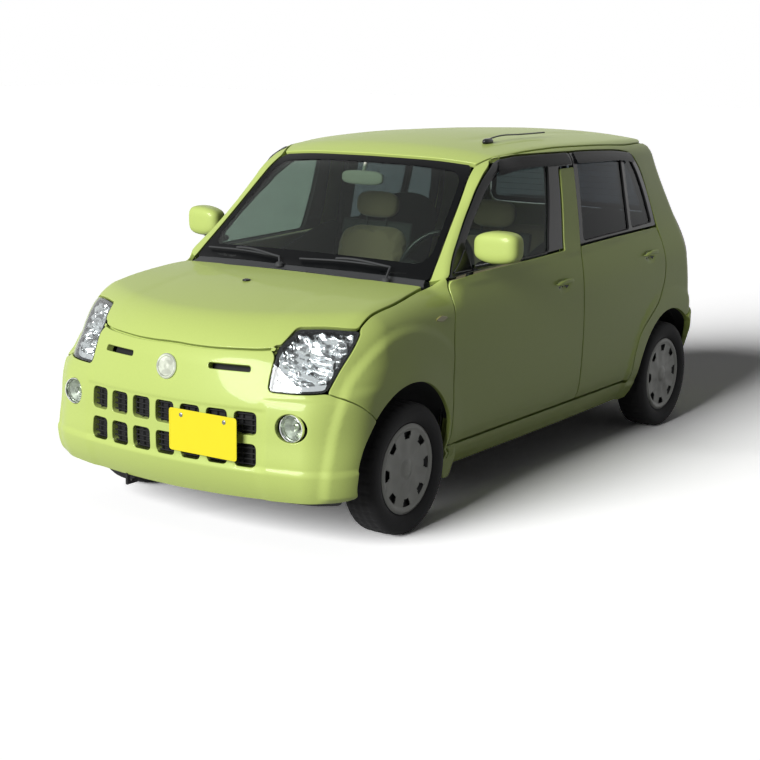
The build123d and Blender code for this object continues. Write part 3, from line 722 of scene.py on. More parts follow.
@dataclass(frozen=True)
class Mirrored:
    """Bright plated plastic: a lamp's reflector, fluted by fine waves; noise darkens some patches of its
    base colour and brightens others, a painted reflection of dark and bright surroundings in each facet.
    """

    name: str = "lamp_reflector"
    colour: tuple = (.86, .87, .88, 1)
    flutes: float = 40.0
    depth: float = .0012
    roughness: float = .08
    dark: float = .30          # the share of the colour left in a painted dark patch, painted shade of a facet mirroring dark surroundings; the other patches get 1.6 times it, painted highlights where that passes 1

    def make(self) -> bpy.types.Material:
        """Builds the material."""
        g = Graph(self.name)
        wave = g.node("TexWave", {"Vector": g.place(), "Scale": self.flutes, "Distortion": 1.5},
            bands_direction="X").outputs["Fac"]
        # painted reflection: noise marks the patches whose base colour is darkened and brightened
        painted_facet_noise = g.noise(24.0, 1.5, g.place((1, 1, 1.6)))
        shade = g.ramp(painted_facet_noise, ((.40, (self.dark,) * 3), (.47, (1, 1, 1)), (.60, (1, 1, 1)),
            (.66, (self.dark * 1.6,) * 3)))
        tone = g.node("HueSaturation",
            {"Color": self.colour, "Value": g.node("RGBToBW", {"Color": shade}).outputs[0]}).outputs[0]
        g.principled(Base_Color=tone, Metallic=1.0, Roughness=self.roughness,
            Normal=g.bump(wave, self.depth, .5))
        return g.material


class Slot(Enum):
    """The record's material slots."""

    PAINT = "paint"
    GLASS = "window_glass"
    TYRE = "tyre"
    WHEEL = "wheel_silver"
    TRIM = "trim_plastic"
    STEEL = "dark_steel"
    SEAT = "seat_fabric"
    LAMP = "lamp"
    PLATE = "plate_yellow"


class Materials:
    """Every finish, made once."""

    def __init__(self) -> None:
        """Makes them all."""
        self.paint = CarPaint().make()
        self.glass = Glazing("green_glass", rgb(140, 155, 146), .008, .5).make()
        self.dark_glass = Glazing("privacy_glass", rgb(90, 98, 104), .008, .5).make()
        self.screen_glass = Glazing("screen_glass", rgb(178, 194, 183)).make()
        self.lens = Glazing("clear_lens", rgb(236, 240, 240)).make()
        self.red_lens = Grained("red_lens", rgb(120, 8, 8), .08, grain=300.0, depth=.0004, coat=.4).make()
        self.visor = Glazing("smoked_visor", rgb(60, 62, 64), .010, .5).make()
        # reflector, bright chrome and satin chrome carry painted reflection: dark and bright patches in the
        # base colour
        self.reflector = Mirrored().make()
        self.smooth_chrome = Mirrored("bright_chrome", (.88, .88, .90, 1), 6.0, .0001, .10, 1.0).make()
        self.satin = Mirrored("satin_chrome", (.50, .53, .44, 1), 6.0, .0001, .30, .8).make()
        self.black = Grained("gloss_black_trim", rgb(20, 21, 22), .24, grain=500.0, depth=.00005,
            coat=.15).make()
        self.frit = Grained("black_glass_band", rgb(9, 10, 11), .35, grain=300.0, depth=.00002,
            specular=.05).make()
        self.rubber = Grained("black_rubber", rgb(24, 24, 25), .75, grain=700.0).make()
        self.tyre = Grained("tyre_rubber", rgb(25, 25, 26), .85, grain=420.0, depth=.0006).make()
        self.plastic = Grained("grained_plastic", rgb(48, 49, 50), .62, grain=1100.0, depth=.0004).make()
        self.liner = Grained("roof_lining", rgb(168, 166, 156), .95, grain=600.0, depth=.0006,
            sheen=.2).make()
        self.carpet = Grained("carpet", rgb(40, 40, 42), .98, grain=500.0, depth=.002, sheen=.3).make()
        self.steel = Grained("chassis_black", rgb(26, 26, 27), .55, grain=160.0, depth=.0006).make()
        self.bright = Grained("machined_steel", rgb(120, 121, 122), .38, 1.0, grain=260.0,
            depth=.0002).make()
        self.engine = Grained("cast_metal", rgb(92, 93, 95), .55, .8, grain=180.0, depth=.0008).make()
        self.cover = Grained("wheel_cover_silver", rgb(108, 109, 105), .42, .30, grain=1500.0, depth=.00006,
            coat=.10).make()
        self.plate = Grained("plate_yellow", rgb(196, 184, 34), .42, grain=60.0, depth=.0001,
            mottle=.03).make()
        self.amber = Grained("pale_amber_lens", rgb(162, 156, 88), .12, grain=300.0, depth=.0003,
            coat=.3).make()
        self.cloth = Woven("beige_cloth", rgb(140, 122, 98)).make()


def put(name: str, form: Shell | bpy.types.Mesh, finish: bpy.types.Material, body: str,
        replaces: Sequence[str] = ()) -> bpy.types.Object:
    """Makes a piece that rides on a body, takes its finish from a slot and stands for CAD nodes.

    Args:
        name: the piece's name.
        form: its shape.
        finish: its material.
        body: the body that carries it.
        replaces: the CAD nodes it stands for.

    Returns:
        The piece.
    """
    mesh = form.mesh(name) if isinstance(form, Shell) else form
    mesh.materials.clear()
    mesh.materials.append(finish)
    piece = bpy.data.objects.new(name, mesh)
    bpy.context.scene.collection.objects.link(piece)
    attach(piece, body)
    if replaces:
        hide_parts(*replaces)
    LOG.info("%s: %d faces on %s", name, len(mesh.polygons), body)
    return piece


def put_pair(name: str, make: Callable[[], Shell], finish: bpy.types.Material, body: str,
        replaces: str = "") -> None:
    """The left piece and its mirror image; {side} in body and replaces becomes left or right.

    Args:
        name: the pair's name, to which the side is added.
        make: gives the left one's shell.
        finish: the material of both.
        body: the body that carries each.
        replaces: the CAD node each stands for, if any.
    """
    shell = make()
    nodes = [replaces] if replaces else []
    for side, sign in SIDES.items():
        label = f"{name}_{side}"
        put(label, shell.mesh(label, sign < 0), finish, body.format(side=side),
            [node.format(side=side) for node in nodes])


# ---- simple forms -------------------------------------------------------------------------------
def turned(profile: Pairs, centre: Sequence[float], axis: int = 0, sign: float = 1.0, around: int = 64,
        smooth: bool = False, shell: Optional[Shell] = None) -> Shell:
    """A profile of (offset along the axis, radius) pairs turned about an axis through centre.

    Args:
        profile: the pairs; offsets grow away from the car where sign is its side.
        centre: a point on the axis.
        axis: 0, 1 or 2 for X, Y or Z.
        sign: direction of the offsets.
        around: points round the axis.
        smooth: whether the profile is one smooth curve or straight runs, split at each corner.
        shell: a shell to add to.

    Returns:
        The shell.
    """
    shell = shell or Shell()
    t = np.linspace(0, 2 * math.pi, around, endpoint=False)
    profile = np.array(profile, float)
    runs = [resample(profile, .006)] if smooth else [profile[i:i + 2] for i in range(len(profile) - 1)]
    for run in runs:
        d = np.gradient(run, axis=0)
        grid = np.zeros((len(run), around, 3))
        grid[..., axis] = (run[:, 0] * sign)[:, None]
        grid[..., (axis + 1) % 3] = run[:, 1, None] * np.cos(t)
        grid[..., (axis + 2) % 3] = run[:, 1, None] * np.sin(t)
        normal = np.zeros_like(grid)
        normal[..., axis] = (d[:, 1] * -sign)[:, None]
        normal[..., (axis + 1) % 3] = d[:, 0, None] * np.cos(t)
        normal[..., (axis + 2) % 3] = d[:, 0, None] * np.sin(t)
        normal /= np.maximum(np.linalg.norm(normal, axis=2, keepdims=True), 1e-12)
        ids = shell.add((grid + np.array(centre)).reshape(-1, 3)).reshape(len(run), around)
        for i in range(len(run) - 1):
            if min(run[i, 1], run[i + 1, 1]) < 1e-6:
                tip, ring = (ids[i], ids[i + 1]) if run[i, 1] < run[i + 1, 1] else (ids[i + 1], ids[i])
                j = np.arange(around)
                fan = np.stack([ring[j], ring[(j + 1) % around], np.full(around, tip[0])], 1)
                way = normal[i, j][:, None] * np.ones((1, 3, 1))
                shell.patch(fan, way)
            else:
                shell.band(ids[i], ids[i + 1], normal[i], normal[i + 1])
    return shell


def prism(outline: Array, low: float, high: float, axis: int, bevel: float = .003,
        shell: Optional[Shell] = None) -> Shell:
    """A flat outline carried along an axis, its two edges rounded by a bevel.

    Args:
        outline: points in the two other axes, in their order after the axis.
        low: where it starts along the axis.
        high: where it ends.
        axis: 0, 1 or 2.
        bevel: how far the edges are rounded.
        shell: a shell to add to.

    Returns:
        The shell.
    """
    shell = shell or Shell()
    n = outward(outline)
    bevel = min(bevel, (high - low) * .45)

    def ring(grow_by: float, at: float) -> Array:
        """The outline, grown, at a place along the axis."""
        p = np.zeros((len(outline), 3))
        p[:, axis], p[:, (axis + 1) % 3], p[:, (axis + 2) % 3] = at, *(outline + n * grow_by).T
        return p

    def tilt(along: float) -> Array:
        """Directions out of the outline, leaning along the axis."""
        d = np.zeros((len(outline), 3))
        d[:, axis] = along
        d[:, (axis + 1) % 3], d[:, (axis + 2) % 3] = (n * math.sqrt(1 - along * along)).T
        return d
    k = 1 - math.sqrt(.5)
    rows = [(-bevel, low, -1.0), (-bevel * k, low + bevel * k, -math.sqrt(.5)), (0, low + bevel, 0.0),
        (0, high - bevel, 0.0), (-bevel * k, high - bevel * k, math.sqrt(.5)), (-bevel, high, 1.0)]
    ids = [shell.add(ring(g, at)) for g, at, _ in rows]
    ways = [tilt(a) for _, _, a in rows]
    for i in range(len(rows) - 1):
        shell.band(ids[i], ids[i + 1], ways[i], ways[i + 1])
    found, _, tris, _, _, _ = delaunay_2d_cdt([tuple(p) for p in outline - n * bevel],
        [(i, (i + 1) % len(outline)) for i in range(len(outline))], [], 1, 1e-7)
    tris = np.array([t for t in tris if len(t) == 3])
    found = np.array([tuple(p) for p in found])
    for end, at, way in ((0, low, -1.0), (-1, high, 1.0)):
        d = np.zeros((len(tris), 3, 3))
        d[..., axis] = way
        cap = ids[end]
        if len(found) != len(outline):
            points = np.zeros((len(found), 3))
            points[:, axis], points[:, (axis + 1) % 3], points[:, (axis + 2) % 3] = at, *found.T
            cap = shell.add(points)
        shell.patch(cap[tris], d)
    return shell


def pad_box(centre: Sequence[float], size: Sequence[float], power: float = 5.0, n: int = 40,
        shell: Optional[Shell] = None) -> Shell:
    """A box with round edges: a sphere's directions scaled so that |x|^p + |y|^p + |z|^p is 1.

    Args:
        centre: its middle.
        size: its three sides.
        power: p; the larger it is, the squarer the box.
        n: points round it.
        shell: a shell to add to.

    Returns:
        The shell.
    """
    u = np.linspace(-math.pi / 2, math.pi / 2, n // 2)[:, None]
    v = np.linspace(0, 2 * math.pi, n, endpoint=False)[None]
    d = np.stack([np.cos(u) * np.cos(v), np.cos(u) * np.sin(v), np.sin(u) * np.ones_like(v)], -1)
    r = np.sum(np.abs(d)**power, -1, keepdims=True)**(-1 / power)
    points = d * r * np.array(size) / 2 + np.array(centre)
    return grid_shell(points[1:-1], ring_v=True, caps=True, shell=shell)


def tube(path: Array, r: float, around: int = 12, shell: Optional[Shell] = None,
        ring: bool = False) -> Shell:
    """A round tube along a path, its rings square to the path's slope.

    Args:
        path: (n, 3) points.
        r: the tube's radius.
        around: points round it.
        shell: a shell to add to.
        ring: whether the path closes on itself.

    Returns:
        The shell.
    """
    path = np.asarray(path, float)
    way = np.roll(path, -1, 0) - np.roll(path, 1, 0) if ring else np.gradient(path, axis=0)
    way /= np.linalg.norm(way, axis=1, keepdims=True)
    up = np.array([0, 0, 1.0]) if abs(way[:, 2]).max() < .95 else np.array([1.0, 0, 0])
    a = np.cross(way, up)
    a /= np.linalg.norm(a, axis=1, keepdims=True)
    b = np.cross(way, a)
    t = np.linspace(0, 2 * math.pi, around, endpoint=False)
    rows = path[:, None] + r * (a[:, None] * np.cos(t)[None, :, None] + b[:, None] * np.sin(t)[None, :,
        None])
    out = shell or Shell()
    ids = out.add(rows.reshape(-1, 3)).reshape(len(path), around)
    normal = (rows - path[:, None]) / r
    for i in range(len(path) if ring else len(path) - 1):
        j = (i + 1) % len(path)
        out.band(ids[i], ids[j], normal[i], normal[j])
    if not ring:
        for row, sign in ((0, -1), (-1, 1)):
            tip = out.add(path[row] + way[row] * r * .35 * sign)[0]
            k = np.arange(around)
            fan = np.stack([ids[row][k], ids[row][(k + 1) % around], np.full(around, tip)], 1)
            out.patch(fan, np.broadcast_to(way[row] * sign, (around, 3, 3)).copy())
    return out


# ---- shared edges on the skin, left side --------------------------------------------------------
@dataclass(frozen=True)
class Lines:
    """The edges that panels share, each a list of (x, y), (x, z) or (along, up) places on one wrap."""

    bonnet_front: Pairs = ((0, -1.636), (.10, -1.634), (.19, -1.624), (.29, -1.602), (.375, -1.575),
        (.432, -1.549))
    lamp_inner: Pairs = ((.5600, .795), (.5560, .755), (.5380, .700), (.5230, .640))
    lamp_inner_top: Pairs = ((.6780, .862), (.6380, .835), (.5720, .786))
    lamp_top: Pairs = ((.9060, .852), (.8040, .860), (.6830, .858))
    lamp_low: Pairs = ((.5250, .636), (.6300, .634), (.7350, .640))
    lamp_outer: Pairs = ((.7350, .640), (.7800, .700), (.8400, .770), (.9060, .850))
    bonnet_side: Pairs = ((.660, -1.338), (.657, -1.228), (.657, -1.104), (.645, -1.000), (.628, -.890),
        (.616, -.828))
    bonnet_rear: Pairs = ((.616, -.828), (.45, -.860), (.25, -.882), (0, -.892))
    seam_front: Pairs = ((-1.519, .638), (-1.470, .616), (-1.405, .580), (-1.3405, .521))
    door_front: Pairs = ((-.768, .300), (-.770, .450), (-.775, .620), (-.768, .780), (-.745, .900),
        (-.734, .958))
    pillar_rear: Pairs = ((-.730, .980), (-.703, 1.008), (-.582, 1.117), (-.463, 1.228), (-.313, 1.362),
        (-.222, 1.413))
    door_top: Pairs = ((-.180, 1.425), (-.078, 1.430), (.135, 1.4305), (.380, 1.427), (.700, 1.419),
        (.960, 1.403), (1.035, 1.393))
    middle: Pairs = ((.352, .300), (.350, .550), (.354, .790), (.376, .985), (.388, 1.100), (.387, 1.220),
        (.380, 1.429))
    door_rear_top: Pairs = ((1.098, 1.366), (1.158, 1.310), (1.202, 1.230), (1.232, 1.130), (1.250, 1.020))
    door_rear_low: Pairs = ((1.258, .940), (1.262, .860), (1.235, .750), (1.160, .662), (1.050, .592),
        (.955, .520), (.912, .430), (.904, .302))
    belt_front: Pairs = ((-.725, .972), (-.500, .984), (-.250, .991), (.000, .996), (.222, 1.003))
    belt_rear: Pairs = ((.378, 1.006), (.780, 1.015), (1.228, 1.019))
    screen_side: Pairs = ((.613, .962), (.592, 1.050), (.568, 1.150), (.546, 1.250), (.521, 1.350),
        (.508, 1.392))
    screen_top: Pairs = ((.498, 1.402), (.340, 1.414), (.150, 1.419), (0, 1.4205))
    roof_side: Pairs = ((.512, -.262), (.548, -.150), (.568, .050), (.578, .350), (.574, .750),
        (.557, 1.080), (.518, 1.335))
    tail_side: Pairs = ((.515, .598), (.525, .800), (.525, 1.000), (.500, 1.180), (.462, 1.340),
        (.440, 1.405))
    lamp_rear: Pairs = ((1.590, .790), (1.560, .850), (1.565, 1.000), (1.600, 1.095))


LINES = Lines()


def on(wrap: Wrap, path: Pairs, to: Wrap, pitch: float = .02) -> Array:
    """A path on one wrap, smooth through its points, as places on another.

    Args:
        wrap: the wrap that the path lies on.
        path: its points.
        to: the other wrap.
        pitch: spacing of the points.

    Returns:
        (n, 2) places.
    """
    return to.flatten(meet(wrap, resample(np.asarray(path, float), pitch), swell=False))


def shift(line: Pairs, along: float = 0.0, up: float = 0.0) -> Array:
    """A line moved on its sheet."""
    return np.asarray(line, float) + (along, up)


def both(half: Sequence[Pairs]) -> list[Pairs]:
    """The paths of an outline's left half and, back to its start, their mirror images."""
    return list(half) + [np.asarray(side)[::-1] * (-1, 1) for side in half[::-1]]


@dataclass
class FrontPanels:
    """Bonnet, bumper with its openings, wings and the fixed trim round them."""

    materials: Materials
    cell_pitch: float = .1225
    cell: tuple[float, float] = (.092, .087)
    rows: tuple[float, float] = (.3905, .5115)
    slot: tuple[float, float, float, float] = (.190, .365, .700, .722)
    fog: tuple[float, float, float] = (.5480, .508, .0535)
    badge: tuple[float, float] = (.687, .049)

    def bonnet_edge(self) -> Array:
        """The bonnet's whole outline from above, counter-clockwise from its rear right corner."""
        half = [on(Wrap.TOP, LINES.bonnet_front, Wrap.TOP), on(Wrap.NOSE, ((.5550, .790), (.5720, .800)),
            Wrap.TOP), on(Wrap.NOSE, LINES.lamp_inner_top[::-1], Wrap.TOP),
            on(Wrap.NOSE, LINES.lamp_top[::-1], Wrap.TOP), np.asarray(LINES.bonnet_side),
            np.asarray(LINES.bonnet_rear)]
        return closed(both(half), (.004, .010, .014, .014, .020, 0, 0, .020, .014, .014, .010, 0), .009)

    def bonnet(self) -> Shell:
        """The bonnet: one panel, a little raised spine along each side."""
        edge = grow(self.bonnet_edge(), -GAP / 2)

        def crease(p: Array, flat: Array) -> Array:
            """The spine's height."""
            return .0022 * step(.34, .40, np.abs(flat[:, 0])) * step(-1.60, -1.40, flat[:, 1])
        return Panel(Wrap.TOP, edge, thick=.018, rim=.0035, shape=crease, spacing=.026).build()

    def bumper_edge(self) -> Array:
        """The bumper's outline round the nose."""
        arch = arc(FRONT_ARCH[:2], FRONT_ARCH[2], 136, 181) + (TURN - WRAP_FRONT, 0)
        low = ((.828, .246), (.800, .237), (.700, .226), (.45, .213), (0, .205))
        half = [on(Wrap.TOP, LINES.bonnet_front, Wrap.NOSE), np.array([(.5440, .782), (.5560, .765)]),
            np.asarray(LINES.lamp_inner[1:]), np.asarray(LINES.lamp_low),
            shift(LINES.seam_front, TURN - WRAP_FRONT), arch,
            np.array([(arch[-1][0], arch[-1][1]), (.829, .248)]), np.asarray(low)]
        return closed(both(half), (.006, .006, .016, .012, .006, 0, .010, 0, .010, 0, .006, .012, .016,
            .006, .006, 0), .008)

    def openings(self) -> list[Array]:
        """Grille cells, upper slots and lamp recesses, as outlines round the nose."""
        w, h = self.cell
        cut = []
        for z in self.rows:
            for i in range(7):
                x = (i - 3) * self.cell_pitch
                path = on(Wrap.FRONT, ((x - w / 2, z - h / 2), (x + w / 2, z - h / 2)), Wrap.NOSE)
                top = on(Wrap.FRONT, ((x - w / 2, z + h / 2), (x + w / 2, z + h / 2)), Wrap.NOSE)
                cut.append(box_outline(path[0, 0], path[-1, 0], top[0, 1] - h, top[0, 1], .019))
        x0, x1, z0, z1 = self.slot
        for sign in (1, -1):
            a = on(Wrap.FRONT, ((sign * x0, z0), (sign * x1, z0)), Wrap.NOSE)
            cut.append(box_outline(*sorted((a[0, 0], a[-1, 0])), z0, z1, .008, .005))
            mid = on(Wrap.FRONT,
                ((sign * self.fog[0], self.fog[1]), (sign * self.fog[0], self.fog[1] + .01)), Wrap.NOSE)[0]
            cut.append(arc(mid, self.fog[2], 0, 352, .006))
        return cut

    def ledge(self, p: Array, flat: Array) -> Array:
        """The bumper stands 4 mm proud beside the grille, and the grille's field lies 3.5 mm back."""
        x = np.abs(p[:, 0])
        plinth = .004 * step(.618, .600, p[:, 2]) * step(.40, .46, x)
        cells = .0035 * step(.330, .345, p[:, 2]) * step(.575, .560, p[:, 2]) * step(.455, .435, x)
        return plinth - cells

    def build(self) -> None:
        """Makes and dresses the front."""
        m = self.materials
        put("bonnet_panel", self.bonnet(), m.paint, "bonnet", ["bonnet"])
        bumper = Panel(Wrap.NOSE, grow(self.bumper_edge(), -FIXED_GAP / 2), self.openings(), .030, .0035,
            shape=self.ledge, spacing=.0125).build()
        put("front_bumper_panel", bumper, m.paint, "body", ["front_bumper"])
        put_pair("front_wing", self.wing, m.paint, "body")
        for side in SIDES:
            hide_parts("front_wings")
        self.grille()
        self.seam_flange()
        self.badge_disc()
        put_pair("fog_lamp_bowl", self.fog_bowl, m.satin, "body")
        put_pair("fog_lamp_lens", self.fog_lens, m.lens, "body")
        put_pair("fog_lamp_ring", self.fog_ring, m.smooth_chrome, "body")
        put_pair("wheel_arch_liner", self.liner, m.plastic, "body")
        self.under_panel()

    def wing(self) -> Shell:
        """The front wing, from the lamp to the door and down behind the wheel."""
        low = ((ARCH_LEG_Y, .232), (-.768, .232))
        arch = arc(FRONT_ARCH[:2], FRONT_ARCH[2], 136, 24)
        sides = [np.asarray(LINES.seam_front), arch, ((ARCH_LEG_Y, arch[-1][1] - .02), low[0]), low,
            ((-.768, .232), (-.768, .300)), LINES.door_front,
            on(Wrap.TOP, ((.655, -.738), (.625, -.800), (.618, -.826)), Wrap.SIDE),
            on(Wrap.TOP, LINES.bonnet_side[::-1], Wrap.SIDE),
            on(Wrap.NOSE, LINES.lamp_outer[::-1], Wrap.SIDE)]
        edge = grow(closed(sides, (.004, .03, .004, .004, 0, .006, .006, .010, .006), .008), -FIXED_GAP / 2)
        return Panel(Wrap.SIDE, edge, thick=.016, rim=.003, spacing=.0135).build()

    def grille(self) -> None:
        """A dark mesh of crossed bars behind the cells, set on a board that follows the nose."""
        board = Panel(Wrap.NOSE, box_outline(-.54, .54, .30, .585, .03), thick=.008, rim=.002, lift=-.034,
            swell=False, spacing=.03).build()
        board = Panel(Wrap.NOSE, box_outline(-.44, .44, .668, .745, .03), thick=.008, rim=.002, lift=-.040,
            swell=False, spacing=.03).build(board)
        for z in np.arange(.352, .560, .0215):
            path = meet(Wrap.NOSE, resample(((-.50, z), (0, z), (.50, z)), .03), False, -.022)
            tube(path, .0032, 8, board)
        for u in np.arange(-.49, .50, .0408):
            tube(meet(Wrap.NOSE, resample(((u, .335), (u, .575)), .03), False, -.026), .0026, 8, board)
        put("grille_mesh", board, self.materials.rubber, "body")

    def seam_flange(self) -> None:
        """The painted lip under the bonnet's front edge, seen down the shut line."""
        front = on(Wrap.TOP, LINES.bonnet_front, Wrap.TOP)
        half = [shift(front, 0, -.014), shift(front, 0, .016)[::-1]]
        edge = closed(both(half), (.004, 0, .004, 0), .012)
        lip = Panel(Wrap.TOP, edge, thick=.003, rim=.0006, lift=-.020, spacing=.03).build()
        put("bonnet_seam_lip", lip, self.materials.paint, "body")

    def badge_disc(self) -> None:
        """A plain round badge with a raised rim and no device on it."""
        z, r = self.badge
        centre = meet(Wrap.FRONT, np.array([(0.0, z)]))[0]
        n = SKIN.normal(centre[None])[0]
        shell = turned(((-.004, r), (.004, r), (.0075, r - .004), (.0075, r - .009), (.004, r - .012),
            (.0035, .012), (.004, 0)), (0, 0, 0), 1, -1, 72)
        mesh = shell.mesh("badge_disc")
        tilt = Matrix.Rotation(math.asin(n[2]), 4, "X")
        mesh.transform(Matrix.Translation(centre + n * .001) @ tilt.inverted())
        put("badge_disc", mesh, self.materials.satin, "body")

    def fog_axis(self) -> Array:
        """The middle of the fog lamp's opening on the skin."""
        return meet(Wrap.FRONT, np.array([self.fog[:2]]))[0]

    def fog_bowl(self) -> Shell:
        """The fog lamp's bowl and bulb shield."""
        c = self.fog_axis()
        bowl = turned(((.030, 0), (.026, .025), (.008, .046), (.003, .048), (.003, .0505), (.033, .030),
            (.036, 0)), c + (0, .012, 0), 1, 1, 48)
        return turned(((-.002, 0), (-.002, .011), (.010, .013), (.022, .013), (.022, 0)), c + (0, .012, 0),
            1, 1, 32, shell=bowl)

    def fog_lens(self) -> Shell:
        """A slightly domed lens."""
        c = self.fog_axis()
        return turned(((-.006, 0), (-.005, .020), (-.001, .040), (.002, .049), (.005, .049), (.002, .039),
            (-.002, .020), (-.003, 0)), c + (0, .004, 0), 1, 1, 56)

    def fog_ring(self) -> Shell:
        """A thin bright ring round the lens."""
        c = self.fog_axis() + (0, .003, 0)
        return turned(((-.003, .0495), (-.005, .0510), (-.003, .0525), (.012, .0525), (.012, .0495),
            (-.003, .0495)), c, 1, 1, 56)

    def liner(self) -> Shell:
        """The arch liner: a half round shell over the wheel, closed on the inner side."""
        t = np.radians(np.linspace(2, 178, 48))
        shell = Shell()
        for (y, z, r), wide in ((FRONT_ARCH, .385), (REAR_ARCH, .545)):
            rows = []
            for x, rr in ((.728, r + .012), (.722, r + .018), (.60, r + .024), (wide + .02, r + .020),
                (wide, r - .004), (wide - .004, .02)):
                rows.append(np.stack([np.full_like(t, x), y - rr * np.cos(t), z + rr * np.sin(t)], 1))
            inner = np.array(rows)
            for _ in range(12):
                short = np.maximum(.006 - SKIN.depth(inner), 0)
                inner[..., 0] -= short
            outer = inner.copy()
            outer[..., 1:] = (inner[..., 1:] - (y, z)) * (1 + .006 / r) + (y, z)
            outer[..., 0] -= .006 * (inner[..., 0] < wide + .01)
            ring = np.concatenate([inner, outer[::-1]])
            grid_shell(ring, ring_u=True, shell=shell)
            ids = np.arange(shell.count - ring.shape[0] * ring.shape[1],
                shell.count).reshape(ring.shape[:2])
            for col in (0, -1):
                n = len(inner)
                a, b = ids[:n, col], ids[n:, col][::-1]
                way = np.broadcast_to((0, 0, -1.0), (n, 3))
                shell.band(a, b, way, way, ring=False)
        return shell

    def under_panel(self) -> None:
        """The black air dam under the bumper."""
        edge = box_outline(-.80, .80, .180, .222, .015)
        shell = Panel(Wrap.NOSE, edge, thick=.010, rim=.003, lift=-.026, swell=False, spacing=.03).build()
        put("air_dam", shell, self.materials.plastic, "body")


@dataclass
class Headlamps:
    """Each lamp: a dark housing, stepped reflectors, a bright lower band and one clear lens."""

    materials: Materials

    def edge(self) -> Array:
        """The lamp's outline round the nose."""
        inner = np.concatenate([np.asarray(LINES.lamp_inner_top), np.asarray(LINES.lamp_inner[1:])])
        return closed([LINES.lamp_outer, LINES.lamp_top, inner, LINES.lamp_low], (.016, .020, .012, .018),
            .007)

    def build(self) -> None:
        """Makes and dresses both lamps."""
        m = self.materials
        put_pair("headlamp_lens", lambda: Panel(Wrap.NOSE, grow(self.edge(), -FIXED_GAP / 2), thick=.004,
            rim=.0015, lift=-.0005, spacing=.022).build(), m.lens, "body")
        put_pair("headlamp_housing", self.housing, m.black, "body")
        put_pair("headlamp_reflector", self.reflector, m.reflector, "body")
        put_pair("headlamp_band", self.band, m.smooth_chrome, "body")
        for side in SIDES:
            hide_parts("front_lamps")

    def housing(self) -> Shell:
        """The dark tub behind the lens, with a rim that shows as a black border."""
        edge = grow(self.edge(), -.003)
        tub = Panel(Wrap.NOSE, edge, [grow(edge, -.0075)], .060, .001, -.005, spacing=.012).build()
        return Panel(Wrap.NOSE, grow(edge, -.004), thick=.004, rim=.001, lift=-.062, spacing=.03).build(tub)

    def reflector(self) -> Shell:
        """Two round reflectors in a stepped bright field: bowls cut into a surface 18 to 45 mm deep."""
        def bowls(p: Array, flat: Array) -> Array:
            """How far the field stands out, less in the bowls."""
            main = np.hypot((flat[:, 0] - .690) / .066, (flat[:, 1] - .742) / .066)
            side = np.hypot((flat[:, 0] - .792) / .040, (flat[:, 1] - .800) / .036)
            small = np.hypot((flat[:, 0] - .600) / .040, (flat[:, 1] - .700) / .040)
            depth = sum(-d * (1 - np.clip(r, 0, 1)**2) for r,
                d in ((main, .034), (side, .020), (small, .018)))
            steps = .0035 * np.sin(flat[:, 0] * 190) * step(.9, 1.2,
                np.minimum(np.minimum(main, side), small))
            return depth + steps + .004 * np.sin(flat[:, 1] * 140 + flat[:, 0] * 60)
        edge = grow(self.edge(), -.0115)
        edge = edge[(edge[:, 1] > .665)]
        edge = closed([np.concatenate([edge, edge[:1]])], .0, .007)
        bright = Panel(Wrap.NOSE, edge, thick=.003, rim=.001, lift=-.020, shape=bowls,
            spacing=.0075).build()
        for u, z, r in ((.690, .742, .016), (.792, .800, .011), (.600, .700, .010)):
            c = meet(Wrap.NOSE, np.array([(u, z)]), False, -.034)[0]
            pad_box(c, (r * 2, r * 2.6, r * 2), 2.2, 18, bright)
        return bright

    def band(self) -> Shell:
        """The bright band along the lamp's foot and the white inner bar."""
        foot = closed([((.540, .645), (.640, .643), (.728, .649)), ((.728, .649), (.742, .672)),
            ((.742, .672), (.640, .664), (.545, .668)), ((.545, .668), (.540, .645))], .005, .006)
        return Panel(Wrap.NOSE, foot, thick=.005, rim=.002, lift=-.014, spacing=.012).build()


